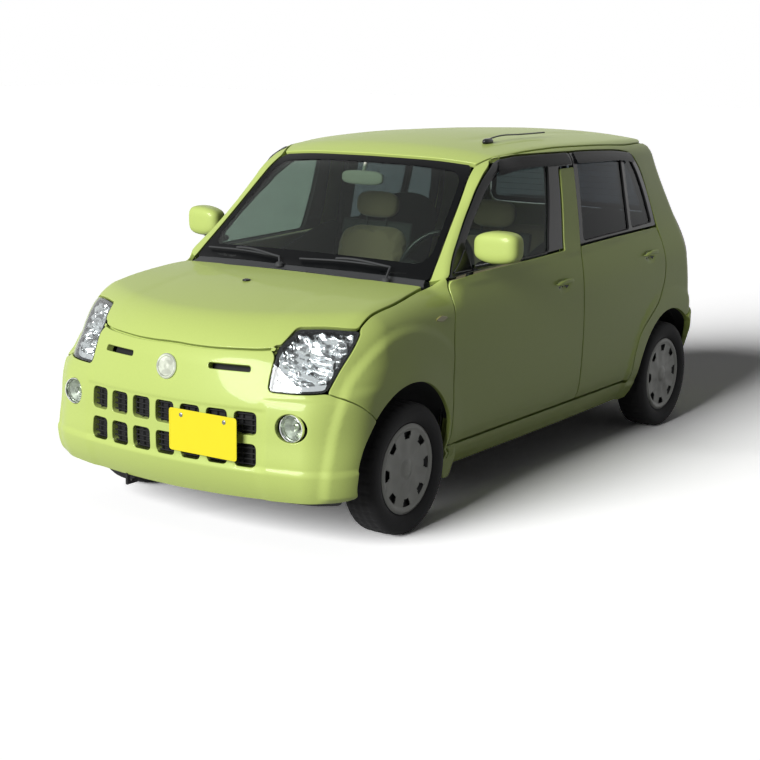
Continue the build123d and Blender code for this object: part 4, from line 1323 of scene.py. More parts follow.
@dataclass
class CabinShell:
    """Roof, the one-piece side from windscreen pillar to tail, and the inner door frames."""

    materials: Materials

    def roof(self) -> Shell:
        """The roof panel, with its two shallow pressed channels."""
        front = on(Wrap.FRONT, LINES.screen_top, Wrap.TOP)
        half = [front[::-1] + (0, .006), on(Wrap.FRONT, ((.498, 1.402), (.506, 1.396)), Wrap.TOP) + (0,
            .006), np.asarray(LINES.roof_side), ((.515, 1.350), (.40, 1.398), (0, 1.414))]
        edge = grow(closed(both(half), (.01, .02, .05, 0, .05, .02, .01, 0), .010), -FIXED_GAP / 2)

        def channels(p: Array, flat: Array) -> Array:
            """The depth of the channels."""
            groove = np.exp(-((np.abs(flat[:, 0]) - .30) / .034)**2)
            return -.0035 * groove * step(-.05, .10, flat[:, 1]) * step(1.25, 1.10, flat[:, 1])
        return Panel(Wrap.TOP, edge, thick=.022, rim=.004, shape=channels, spacing=.024).build()

    def pillar(self) -> Shell:
        """The windscreen pillar and the front of the roof rail, met across the car's corner."""
        to = Wrap.CORNER
        screen = on(Wrap.FRONT, LINES.screen_side, to)
        roof = on(Wrap.TOP, LINES.roof_side[:2], to)
        door = on(Wrap.SIDE, LINES.pillar_rear[::-1], to)
        rail = on(Wrap.SIDE, ((-.150, 1.4275), (-.185, 1.4245)), to)
        sides = [screen, (screen[-1], roof[0]), roof, (roof[-1], rail[0]), rail, door,
            (door[-1], screen[0])]
        edge = grow(closed(sides, (.004, .004, 0, 0, .010, .006, .006), .008), -.002)
        return Panel(to, edge, thick=.020, rim=.0025, spacing=.014).build()

    def side(self) -> Shell:
        """The body side behind the pillar: roof rail, quarter panel and sill in one."""
        arch = arc(REAR_ARCH[:2], REAR_ARCH[2], 6, 174)
        tail = on(Wrap.BACK, LINES.tail_side, Wrap.SIDE)
        roof = on(Wrap.TOP, LINES.roof_side[1:], Wrap.SIDE)
        quarter_s = REAR_ARCH[0] + REAR_ARCH[2]
        sides = [((-.150, 1.4275), roof[0]), roof, tail[::-1][2:-8], np.asarray(LINES.lamp_rear)[::-1],
            ((1.590, .790), (1.70, .760), (1.745, .700), (1.745, .602)),
            ((1.745, .600), (quarter_s, .560), (1.520, .545)), arch, ((.978, .300), (.972, .235)),
            ((.965, .200), (.2, SILL_Z), (-.765, SILL_Z)), ((-.7665, SILL_Z), (-.7665, .282)),
            ((-.760, DOOR_Z), (.2, DOOR_Z), (.898, DOOR_Z)), np.asarray(LINES.door_rear_low)[::-1],
            np.asarray(LINES.door_rear_top)[::-1], LINES.door_top[::-1][:-2] + ((-.078, 1.430),
            (-.150, 1.4275))]
        corners = (0, .05, .02, .02, .01, .01, .01, .01, .012, .004, .012, .02, .03, 0)
        edge = grow(closed(sides, corners, .009), -GAP / 2)
        return Panel(Wrap.SIDE, edge, thick=.020, rim=.0025, spacing=.021).build()

    def frames(self) -> Shell:
        """Flanges behind the doors' edges, 44 mm under the skin, as strips that follow each opening."""
        shell = Shell()
        for edge in (door_edge("front"), door_edge("rear")):
            outer, hole = grow(edge, .016), grow(edge, -.026)
            Panel(Wrap.SIDE, outer, [hole], .006, .002, -.044, False, .020).build(shell)
        return shell

    def corner(self) -> Shell:
        """The painted sheet where roof, side and tailgate meet, 12 mm under the skin."""
        edge = closed([((.450, 1.290), (.556, 1.290)), ((.556, 1.300), (.548, 1.420), (.520, 1.515)),
            ((.515, 1.520), (.460, 1.520)), ((.455, 1.515), (.441, 1.420), (.440, 1.300))], .008, .012)
        return Panel(Wrap.TOP, edge, thick=.004, rim=.001, lift=-.012, swell=False, spacing=.018).build()

    def build(self) -> None:
        """Makes and dresses the cabin's outer panels."""
        m = self.materials
        put("roof_panel", self.roof(), m.paint, "body", ["roof"])
        put_pair("body_side_panel", self.side, m.paint, "body", "body_side_{side}")
        put_pair("windscreen_pillar", self.pillar, m.paint, "body", "body_side_{side}")
        put_pair("door_frame_flange", self.frames, m.black, "body")
        put_pair("tail_corner_flange", self.corner, m.paint, "body")
        lining = Panel(Wrap.TOP, box_outline(-.50, .50, -.26, 1.36, .08, .02), thick=.006, rim=.003,
            lift=-.032, swell=False, spacing=.05).build()
        put("roof_lining", lining, m.liner, "body")


def door_edge(which: str) -> Array:
    """The outline of a whole door leaf, window frame and all, along the side."""
    middle = np.asarray(LINES.middle, float)
    if which == "front":
        top = np.asarray(LINES.door_top)[:4]
        sides = [((-.768, .298), (-.768, .310)), LINES.door_front[1:], LINES.pillar_rear, top, middle[::-1],
            ((.352, DOOR_Z + .006), (-.762, DOOR_Z + .006))]
        return closed(sides, (.004, .006, .03, .008, .012, .016), .008)
    top = np.asarray(LINES.door_top)[3:]
    sides = [middle, top, LINES.door_rear_top, LINES.door_rear_low,
        ((.900, DOOR_Z + .006), (.354, DOOR_Z + .006))]
    return closed(sides, (.008, .03, .02, .012, .012), .008)


@dataclass
class Doors:
    """Both front and both rear doors: skins, black frames, glass, seals, cards, handles and visors."""

    materials: Materials
    strip_front_y: float = .240       # the painted strip ahead of the centre shut line
    strip_top_z: float = 1.362

    def skin_edge(self, which: str) -> Array:
        """The painted part of a door: below the belt, and the front door's strip up the centre pillar."""
        if which == "front":
            mid = np.asarray(LINES.middle, float)
            sides = [((-.768, .298), (-.768, .310)), LINES.door_front[1:], LINES.belt_front,
                ((.224, 1.022), (self.strip_front_y, 1.140), (.249, 1.310), (.248, self.strip_top_z)),
                ((.248, self.strip_top_z), (.383, self.strip_top_z)),
                np.concatenate([[(.3825, self.strip_top_z)], mid[::-1][1:]]),
                ((.352, DOOR_Z + .006), (-.762, DOOR_Z + .006))]
            return grow(closed(sides, (.004, .012, .006, .010, .010, .012, .016), .008), -GAP / 2)
        low = [p for p in LINES.middle if p[1] < 1.0] + [(.3775, 1.003)]
        sides = [low, LINES.belt_rear, ((1.236, 1.014), (1.254, .960)), LINES.door_rear_low,
            ((.900, DOOR_Z + .006), (.354, DOOR_Z + .006))]
        return grow(closed(sides, (.008, .006, .008, .012, .012), .008), -GAP / 2)

    def glass_edges(self, which: str) -> list[Array]:
        """The visible window openings in the black frame."""
        if which == "front":
            sides = [((-.548, 1.004), (-.548, 1.098)), ((-.540, 1.106), (-.425, 1.212), (-.290, 1.335),
                (-.245, 1.368)), ((-.225, 1.380), (-.02, 1.392), (.150, 1.394)),
                ((.156, 1.388), (.140, 1.240), (.088, 1.012)),
                ((.080, 1.008), (-.200, 1.003), (-.540, .996))]
            return [closed(sides, (.006, .02, .02, .012, .010), .007)]
        main = [((.424, 1.028), (.430, 1.200), (.424, 1.386)),
            ((.432, 1.392), (.660, 1.388), (.910, 1.378)), ((.922, 1.372), (.922, 1.200), (.914, 1.040)),
            ((.906, 1.034), (.660, 1.030), (.432, 1.024))]
        quarter = [((.946, 1.044), (.956, 1.200), (.958, 1.364)), ((.966, 1.372), (1.050, 1.362)),
            ((1.064, 1.352), (1.120, 1.290), (1.160, 1.210), (1.192, 1.056)),
            ((1.184, 1.044), (.952, 1.038))]
        return [closed(main, (.012, .012, .010, .010), .007), closed(quarter, (.010, .012, .010, .010),
            .007)]

    def leaf_depth(self, p: Array) -> Array:
        """Door thickness: 68 mm up to the belt and 30 mm round the windows."""
        return .030 + .038 * step(.985, .930, p[:, 2]) * step(.30, .36, p[:, 2])

    def hollow(self, which: str) -> Callable[[Array, Array], Array]:
        """The dish behind each handle, and the soft swage under the belt."""
        y, z = (.170, .852) if which == "front" else (1.085, .888)

        def shape(p: Array, flat: Array) -> Array:
            """The dish and the swage."""
            far = np.hypot((flat[:, 0] - y) / .066, (flat[:, 1] - z) / .030)
            dish = -.014 * np.clip(1 - far**2, 0, 1)**2
            belt = .0025 * step(.955, .970, flat[:, 1] - .045 * flat[:, 0])
            return dish + belt
        return shape

    def skin(self, which: str) -> Shell:
        """The painted panel."""
        return Panel(Wrap.SIDE, self.skin_edge(which), thick=self.leaf_depth, rim=.0035,
            shape=self.hollow(which), spacing=.021).build()

    def frame(self, which: str) -> Shell:
        """The black frame round the windows, 2 mm below the painted skin."""
        if which == "front":
            top = np.asarray(LINES.door_top)[:4]
            sides = [LINES.pillar_rear, top, ((.3795, 1.425), (.3825, 1.369)),
                ((.380, 1.3665), (.246, 1.3665)), ((.2445, 1.360), (.2445, 1.310), (.2355, 1.140),
                (.218, 1.010)), np.asarray(shift(LINES.belt_front, 0, .005))[::-1]]
            edge = closed(sides, (.02, .006, .004, .008, .006, .006), .008)
        else:
            top = np.asarray(LINES.door_top)[3:]
            sides = [((.379, 1.012), (.388, 1.100), (.387, 1.220), (.381, 1.425)), top,
                LINES.door_rear_top[:4] + ((1.238, 1.028),),
                np.asarray(shift(LINES.belt_rear, 0, .005))[::-1]]
            edge = closed(sides, (.006, .03, .006, .006), .008)
        return Panel(Wrap.SIDE, grow(edge, -GAP / 2), self.glass_edges(which), .024, .0025, -.002, False,
            .016).build()

    def pane(self, which: str) -> Shell:
        """The windows, 10 mm below the skin."""
        shell = Shell()
        for edge in self.glass_edges(which):
            Panel(Wrap.SIDE, grow(edge, .008), thick=.0035, rim=.001, lift=-.010, swell=False,
                spacing=.03).build(shell)
        return shell

    def seals(self, which: str) -> Shell:
        """Rubber along the belt and up the sides of each window."""
        shell = Shell()
        for edge in self.glass_edges(which):
            tube(meet(Wrap.SIDE, edge, False, -.0075), .0045, 8, shell, ring=True)
        return shell

    def visor(self, which: str) -> Shell:
        """The smoked rain visor along the top of the windows, standing 14 mm proud at its lower edge."""
        if which == "front":
            low = ((-.262, 1.352), (-.06, 1.372), (.10, 1.375), (.352, 1.373))
            high = ((-.188, 1.417), (-.06, 1.425), (.10, 1.426), (.352, 1.424))
        else:
            low = ((.410, 1.372), (.66, 1.367), (.92, 1.357), (1.065, 1.338))
            high = ((.410, 1.423), (.66, 1.416), (.92, 1.401), (1.040, 1.387))
        edge = closed([low, (low[-1], high[-1]), high[::-1], (high[0], low[0])], (.01, .01, .01, .01), .008)

        def flare(p: Array, flat: Array) -> Array:
            """More towards the lower edge."""
            return .011 * step(1.412, 1.350, flat[:, 1])
        return Panel(Wrap.SIDE, edge, thick=.0025, rim=.001, lift=.0035, swell=False, shape=flare,
            spacing=.012).build()

    def handle(self, which: str) -> Shell:
        """A pull handle that bows out over its dish."""
        y, z = (.170, .866) if which == "front" else (1.085, .902)
        flat = resample(((y - .078, z - .004), (y - .045, z), (y, z + .002), (y + .045, z),
            (y + .078, z - .004)), .006)
        base = meet(Wrap.SIDE, flat)
        n = SKIN.normal(base)
        t = np.linspace(-1, 1, len(flat))
        lift = .004 + .017 * np.clip(1 - t**4, 0, 1)
        ring = np.linspace(0, 2 * math.pi, 16, endpoint=False)
        size = (.0105 * np.clip(1 - np.abs(t)**6, .15, 1))[:, None, None]
        middle = base + n * lift[:, None]
        up = np.array([0, 0, 1.0])
        rows = (middle[:, None] + n[:, None] * np.cos(ring)[None, :, None] * size * .55 + up
            * np.sin(ring)[None, :, None] * size)
        return grid_shell(rows, ring_v=True, caps=True)

    def dish(self, which: str) -> Shell:
        """A black sheet laid in the dish behind the handle: painted shade where the handle and the recess
        shade the paint.
        """
        y, z = (.170, .848) if which == "front" else (1.085, .884)
        t = np.linspace(0, 2 * math.pi, 40, endpoint=False)
        edge = np.stack([y + .046 * np.cos(t), z + .013 * np.sin(t)], 1)
        return Panel(Wrap.SIDE, edge, thick=.002, rim=.0008, lift=.0006, shape=self.hollow(which),
            spacing=.008).build()

    def card(self, which: str) -> Shell:
        """The inner trim: a moulded card with an armrest."""
        edge = grow(door_edge(which), -.045)
        edge = edge[edge[:, 1] < .962]
        edge = closed([np.concatenate([edge, edge[:1]])], .0, .012)

        def rest(p: Array, flat: Array) -> Array:
            """The armrest, inwards."""
            return -.030 * np.exp(-((flat[:, 1] - .70) / .045)**2) * step(-.66, -.50, flat[:, 0])
        return Panel(Wrap.SIDE, edge, thick=.008, rim=.004, lift=-.072, swell=False, shape=rest,
            spacing=.028).build()

    def build(self) -> None:
        """Makes and dresses all four doors."""
        m = self.materials
        for which, glass in (("front", m.glass), ("rear", m.dark_glass)):
            body = which + "_door_{side}"
            name = f"{which}_door"
            put_pair(f"{name}_skin", lambda: self.skin(which), m.paint, body,
                f"door_{which}_" + "{side}")
            put_pair(f"{name}_frame", lambda: self.frame(which), m.black, body)
            put_pair(f"{name}_glass", lambda: self.pane(which), glass, body,
                f"door_glass_{which}_" + "{side}")
            put_pair(f"{name}_seals", lambda: self.seals(which), m.rubber, body)
            put_pair(f"{name}_visor", lambda: self.visor(which), m.visor, body)
            put_pair(f"{name}_handle", lambda: self.handle(which), m.paint, body)
            # the dish's black sheet is painted shade under the handle
            put_pair(f"{name}_dish", lambda: self.dish(which), m.black, body)
            put_pair(f"{name}_card", lambda: self.card(which), m.plastic, body)


@dataclass
class Glazed:
    """Windscreen and tail window with their printed black bands, and the wipers."""

    materials: Materials

    def screen_edge(self) -> Array:
        """The windscreen's outline from the front."""
        half = [((0, .984), (.30, .982), (.610, .970)), LINES.screen_side, LINES.screen_top]
        return closed(both(half), (.020, .020, 0, .020, .020, 0), .012)

    def screen_hole(self) -> Array:
        """Where the band ends: about 30 mm from the sides, 25 from the top and 55 from the foot."""
        half = [((0, 1.040), (.30, 1.036), (.562, 1.026)), shift(LINES.screen_side, -.030, 0)[1:-1],
            ((.462, 1.374), (.300, 1.388), (0, 1.395))]
        return closed(both(half), (.045, .030, 0, .030, .045, 0), .012)

    def tail_edge(self) -> Array:
        """The tail window's outline from behind."""
        half = [((0, 1.048), (.30, 1.046), (.500, 1.050)), ((.508, 1.060), (.478, 1.200), (.436, 1.345)),
            ((.425, 1.362), (.25, 1.378), (0, 1.382))]
        return closed(both(half), (.045, .040, 0, .040, .045, 0), .010)

    def build(self) -> None:
        """Makes and dresses both."""
        m = self.materials
        edge, hole = grow(self.screen_edge(), -.002), self.screen_hole()
        pane = Panel(Wrap.FRONT, edge, thick=.0045, rim=.001, lift=-.0045, swell=False,
            spacing=.035).build()
        put("windscreen_pane", pane, m.screen_glass, "body", ["windscreen"])
        band = Panel(Wrap.FRONT, grow(edge, -.001), [hole], .0008, .0002, -.0040, False, .020).build()
        band = Panel(Wrap.FRONT, grow(edge, -.001), [hole], .0008, .0002, -.0100, False, .020).build(band)
        put("windscreen_band", band, m.frit, "body")
        edge = grow(self.tail_edge(), -.0015)
        pane = Panel(Wrap.BACK, edge, thick=.0045, rim=.001, lift=-.0035, swell=False, spacing=.035).build()
        put("tailgate_pane", pane, m.dark_glass, "tailgate", ["tailgate_glass"])
        band = Panel(Wrap.BACK, grow(edge, -.001), [grow(edge, -.028)], .0008, .0002, -.0030, False,
            .020).build()
        for z in np.arange(1.09, 1.35, .032):
            tube(meet(Wrap.BACK, resample(((-.44, z), (0, z), (.44, z)), .04), False, -.0096), .0008, 6,
                band)
        put("tailgate_pane_band", band, m.frit, "tailgate")
        self.cowl()
        self.wipers()

    def cowl(self) -> None:
        """The black scuttle between bonnet and windscreen, with its air slots."""
        front = shift(on(Wrap.TOP, LINES.bonnet_rear, Wrap.TOP), 0, GAP + .004)
        glass = Wrap.TOP.flatten(meet(Wrap.FRONT, resample(((0, .988), (.30, .986), (.590, .976)), .02),
            False))
        half = [front[::-1], ((.616, -.820), (.598, -.800)), glass[::-1]]
        edge = closed(both(half), (.01, .012, 0, .012, .01, 0), .010)
        slots = [box_outline(x - .045, x + .045, -.872, -.862, .004, .004) for x in np.arange(-.44, .45,
            .11)]
        shell = Panel(Wrap.TOP, edge, slots, .012, .002, -.006, False, .020).build()
        put("cowl_cover", shell, self.materials.plastic, "body", ["cowl"])

    def wipers(self) -> None:
        """Two arms and blades at rest along the foot of the windscreen, and one on the tail window."""
        shell = Shell()
        for x0, x1 in ((.44, -.02), (-.10, -.56)):
            root = meet(Wrap.TOP, np.array([(x0 + .01, -.850)]), False, -.002)[0]
            turned(((0, 0), (.016, .0), (.018, .010), (.012, .017), (0, .019)), root, 2, 1, 28, shell=shell)
            arm = resample(((x0 + .01, .996), ((x0 + x1) / 2, 1.014), (x1 + .19, 1.012)), .02)
            path = meet(Wrap.FRONT, arm, False, .018)
            path[0] = root + (0, 0, .014)
            tube(path, .0050, 10, shell)
            blade = resample(((x0 - .03, 1.004), ((x0 + x1) / 2, 1.010), (x1 + .01, 1.004)), .02)
            tube(meet(Wrap.FRONT, blade, False, .0085), .0042, 10, shell)
            tube(meet(Wrap.FRONT, blade, False, .0035), .0022, 8, shell)
        put("wipers", shell, self.materials.plastic, "body")
        shell = Shell()
        root = meet(Wrap.BACK, np.array([(0.0, 1.020)]), False, .0)[0]
        turned(((-.012, 0), (.018, 0), (.020, .012), (.012, .020), (-.012, .022)), root, 1, 1, 28,
            shell=shell)
        tube(meet(Wrap.BACK, resample(((0, 1.022), (-.12, 1.066), (-.22, 1.078)), .02), False, .020), .005,
            10, shell)
        tube(meet(Wrap.BACK, resample(((-.05, 1.072), (-.22, 1.078), (-.39, 1.080)), .02), False, .008),
            .004, 10, shell)
        put("tail_wiper", shell, self.materials.plastic, "tailgate")


@dataclass
class Tail:
    """Tailgate, tail lamps, rear bumper and rear trim."""

    materials: Materials

    def gate_edge(self) -> Array:
        """The tailgate's outline from behind."""
        top = on(Wrap.TOP, ((.435, 1.392), (.25, 1.408), (0, 1.416)), Wrap.BACK)
        half = [((0, .606), (.30, .606), (.515, .606)), LINES.tail_side, top]
        return grow(closed(both(half), (.030, .030, 0, .030, .030, 0), .010), -GAP / 2)

    def gate_form(self, p: Array, flat: Array) -> Array:
        """A recess for the plate, and a soft ledge under the window."""
        plate = step(.27, .235, np.abs(flat[:, 0])) * step(.705, .730, flat[:, 1]) * step(.935, .905,
            flat[:, 1])
        ledge = .004 * step(1.03, 1.00, flat[:, 1]) * step(.60, .70, flat[:, 1])
        return ledge - .016 * plate

    def build(self) -> None:
        """Makes and dresses the tail."""
        m = self.materials
        glass = grow(Glazed(m).tail_edge(), .002)
        gate = Panel(Wrap.BACK, self.gate_edge(), [glass], .026, .0035, shape=self.gate_form,
            spacing=.024).build()
        put("tailgate_panel", gate, m.paint, "tailgate", ["tailgate"])
        put_pair("tail_lamp_lens", self.lamp, m.red_lens, "body")
        for side in SIDES:
            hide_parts("tail_lamps")
        put_pair("tail_lamp_clear", self.lamp_clear, m.lens, "body")
        self.bumper()
        self.details()

    def lamp_edge(self) -> Array:
        """The tail lamp's outline on the side sheet."""
        inner = on(Wrap.BACK, ((.525, .800), (.527, .900), (.520, 1.050)), Wrap.SIDE)
        sides = [((1.592, .792), (1.70, .762), (inner[0][0], .762)), inner,
            ((inner[-1][0], 1.085), (1.70, 1.100), (1.604, 1.094)), np.asarray(LINES.lamp_rear)[::-1]]
        return closed(sides, (.020, .020, .020, .012), .009)

    def lamp(self) -> Shell:
        """The red lens."""
        return Panel(Wrap.SIDE, grow(self.lamp_edge(), -.0025), thick=.020, rim=.003, lift=.003,
            swell=False, spacing=.02).build()

    def lamp_clear(self) -> Shell:
        """A clear lower window in the lamp."""
        edge = self.lamp_edge()
        low, high = edge.min(0), edge.max(0)
        edge = box_outline(low[0] + .05, high[0] - .02, .80, .865, .012)
        return Panel(Wrap.SIDE, edge, thick=.004, rim=.002, lift=.0045, swell=False, spacing=.02).build()

    def bumper(self) -> None:
        """The rear bumper round the tail, from wheel arch to wheel arch."""
        high = TURN - (1.745 - WRAP_REAR)
        arch = arc(REAR_ARCH[:2], REAR_ARCH[2], -10, 54)[::-1]
        wheel = np.stack([TURN - (arch[:, 0] - WRAP_REAR), arch[:, 1]], 1)
        half = [((0, .232), (.40, .228), (wheel[-1][0] - .020, .222)),
            ((wheel[-1][0] - .012, .218), wheel[-1]), wheel[::-1],
            ((wheel[0][0], wheel[0][1]), (TURN - (1.600 - WRAP_REAR), .574), (high, .598)),
            ((high - .01, .600), (.30, .600), (0, .600))]
        edge = closed(both(half), (.01, .01, .01, .01, 0, .01, .01, .01, .01, 0), .010)

        def form(p: Array, flat: Array) -> Array:
            """A step below the top edge and a drawn-in foot."""
            return .012 * step(.600, .575, p[:, 2]) * step(-.2, .0, p[:, 1]) - .010 * step(.36, .30,
                p[:, 2])
        shell = Panel(Wrap.TAIL, grow(edge, -FIXED_GAP / 2), thick=.022, rim=.004, shape=form,
            spacing=.024).build()
        put("rear_bumper_panel", shell, self.materials.paint, "body", ["rear_bumper"])

    def details(self) -> None:
        """Rear handle bar, plate, high stop lamp and reflectors."""
        m = self.materials
        bar = Panel(Wrap.BACK, box_outline(-.20, .20, .930, .962, .012), thick=.012, rim=.005, lift=.020,
            swell=False, spacing=.02).build()
        put("tailgate_handle", bar, m.paint, "tailgate")
        y = meet(Wrap.BACK, np.array([(.0, .82)]), False)[0, 1]
        plate = prism(box_outline(.742, .902, -.165, .165, .012), y - .012, y - .006, 1, .001)
        put("rear_plate", plate, m.plate, "tailgate")
        stop = Panel(Wrap.BACK, box_outline(-.11, .11, 1.392, 1.412, .006), thick=.010, rim=.003, lift=.002,
            swell=False, spacing=.02).build()
        put("high_stop_lamp", stop, m.red_lens, "tailgate")
        put_pair("rear_reflector", lambda: Panel(Wrap.TAIL, box_outline(.50, .62, .34, .365, .008),
            thick=.008, rim=.003, lift=.005, spacing=.02).build(), m.red_lens, "body")


@dataclass
class SmallParts:
    """Door mirrors, antenna, side repeaters, washer nozzle, front plate and mud flaps."""

    materials: Materials

    def mirror_head(self) -> Shell:
        """The mirror's housing: a round-edged box, fuller in front, that leans back."""
        centre = np.array(MIRROR)
        body = pad_box((0, 0, 0), (.192, .118, .134), 3.8, 64)
        for i, part in enumerate(body.points):
            q = part.copy()
            taper = 1 - .16 * step(.0, .09, -q[:, 0]) - .05 * step(0, .09, q[:, 0])
            q[:, 2] *= taper
            q[:, 1] *= np.where(q[:, 1] > 0, .62, 1.0)
            q[:, 1] += .12 * q[:, 0] * (q[:, 0] > 0) * 2.2 - .02 * q[:, 2]
            body.points[i][:] = q + centre
        return body

    def mirror_glass(self) -> Shell:
        """The reflecting pane on the housing's rear face."""
        edge = box_outline(-.072, .072, -.050, .050, .026)[:, ::-1]
        pane = prism(edge, .0, .004, 1, .0012)
        for i, part in enumerate(pane.points):
            q = part + np.array([.772, -.4795, 1.092])
            q[:, 1] += .12 * np.maximum(part[:, 0], 0)
            pane.points[i][:] = q
        return pane

    def mirror_foot(self) -> Shell:
        """The black foot and the sail that fills the window's front corner."""
        foot = Shell()
        rows = []
        for t in np.linspace(0, 1, 9):
            c = np.array([.690 + .085 * t, -.500 - .004 * t, 1.012 + .022 * t])
            a = np.linspace(0, 2 * math.pi, 24, endpoint=False)
            w, h = .052 - .016 * t, .016 - .002 * t
            rows.append(c + np.stack([0 * a, w * np.sign(np.cos(a)) * np.abs(np.cos(a))**.8, h * np.sin(a)],
                1))
        grid_shell(np.array(rows), ring_v=True, caps=True, shell=foot)
        sail = closed([((-.700, .995), (-.560, .994)), ((-.557, 1.000), (-.557, 1.078)),
            ((-.562, 1.082), (-.630, 1.032), (-.700, .998))], (.006, .006, .010), .006)
        return Panel(Wrap.SIDE, sail, thick=.010, rim=.004, lift=.004, swell=False,
            spacing=.015).build(foot)

    def antenna(self) -> None:
        """A short folded rod antenna at the left front corner of the roof."""
        root = meet(Wrap.TOP, np.array([(.392, .015)]), False, -.002)[0]
        shell = Shell()
        pad_box(root + (0, .015, .010), (.030, .075, .030), 2.6, 28, shell)
        path = np.array([root + (0, .0, .018), root + (.002, .10, .034), root + (.004, .30, .044),
            root + (.006, .52, .044)])
        path[:, 2] = np.minimum(path[:, 2], 1.4985)
        tube(resample(path, .02), .0036, 10, shell)
        put("antenna", shell, self.materials.black, "body")

    def build(self) -> None:
        """Makes and dresses them all."""
        m = self.materials
        door = "front_door_{side}"
        put_pair("mirror_head", self.mirror_head, m.paint, door, "mirror_{side}")
        # the mirror face carries the reflector's painted reflection: dark and bright patches in its base
        # colour
        put_pair("mirror_face", self.mirror_glass, m.reflector, door)
        put_pair("mirror_foot", self.mirror_foot, m.black, door)
        self.antenna()
        put_pair("side_repeater", self.repeater, m.amber, "body")
        at = meet(Wrap.TOP, np.array([(-.035, -1.140)]), False)[0]
        nozzle = pad_box(at + (0, 0, .003), (.030, .034, .012), 2.5, 24)
        put("washer_nozzle", nozzle, m.black, "bonnet")
        self.plate()
        put_pair("rear_mud_flap", self.flap, m.rubber, "body")
        put_pair("front_mud_flap", self.front_flap, m.paint, "body")

    def repeater(self) -> Shell:
        """A small amber lamp on the wing."""
        edge = closed([((-.910, .838), (-.862, .827), (-.815, .838)),
            ((-.815, .840), (-.862, .851), (-.910, .840))], .006, .004)
        return Panel(Wrap.SIDE, edge, thick=.006, rim=.003, lift=.0045, spacing=.010).build()

    def plate(self) -> None:
        """The blank front plate with its pressed rim and two bolts."""
        x0, x1, z0, z1 = .032, .362, .3715, .5365
        y = -1.6975
        plate = prism(box_outline(z0, z1, x0, x1, .010), y, y + .0022, 1, .0008)
        rim = box_outline(z0 + .006, z1 - .006, x0 + .006, x1 - .006, .008, .012)
        path = np.stack([rim[:, 1], np.full(len(rim), y + .0008), rim[:, 0]], 1)
        tube(path, .0014, 6, plate, ring=True)
        put("front_plate_sheet", plate, self.materials.plate, "body", ["front_plate"])
        bolts = Shell()
        for x in (.092, .302):
            turned(((.0035, 0), (.0035, .006), (.001, .0095), (-.003, .0095)), (x, y, .514), 1, -1, 6,
                shell=bolts)
        for x in (.11, .28):
            prism(box_outline(.42, .52, x - .012, x + .012, .003), y + .002, y + .030, 1, .001, bolts)
        put("plate_bolts", bolts, self.materials.bright, "body")

    def front_flap(self) -> Shell:
        """The painted flap under the wing, behind the front wheel; it tapers to its foot."""
        edge = closed([((-.788, .296), (-.788, .170)), ((-.780, .163), (-.742, .165)),
            ((-.734, .172), (-.694, .236)), ((-.690, .246), (-.690, .296))], .008, .008)
        return prism(edge, .630, .699, 0, .004)

    def flap(self) -> Shell:
        """The rubber flap behind the rear wheel."""
        edge = box_outline(.560, .664, .190, .275, .015)
        return prism(edge[:, ::-1], 1.604, 1.612, 1, .002)


TREAD = 36             # tread blocks round a tyre
VOXEL = .0085          # metres between the points of an inflated pad
PRESSURE = 4.0
FRAMES = 15            # steps of the inflation
COLUMN_LEAN = 28          # degrees the steering column leans back
COLUMN = (.330, -.290, .935)
MIRROR = (.772, -.512, 1.092)


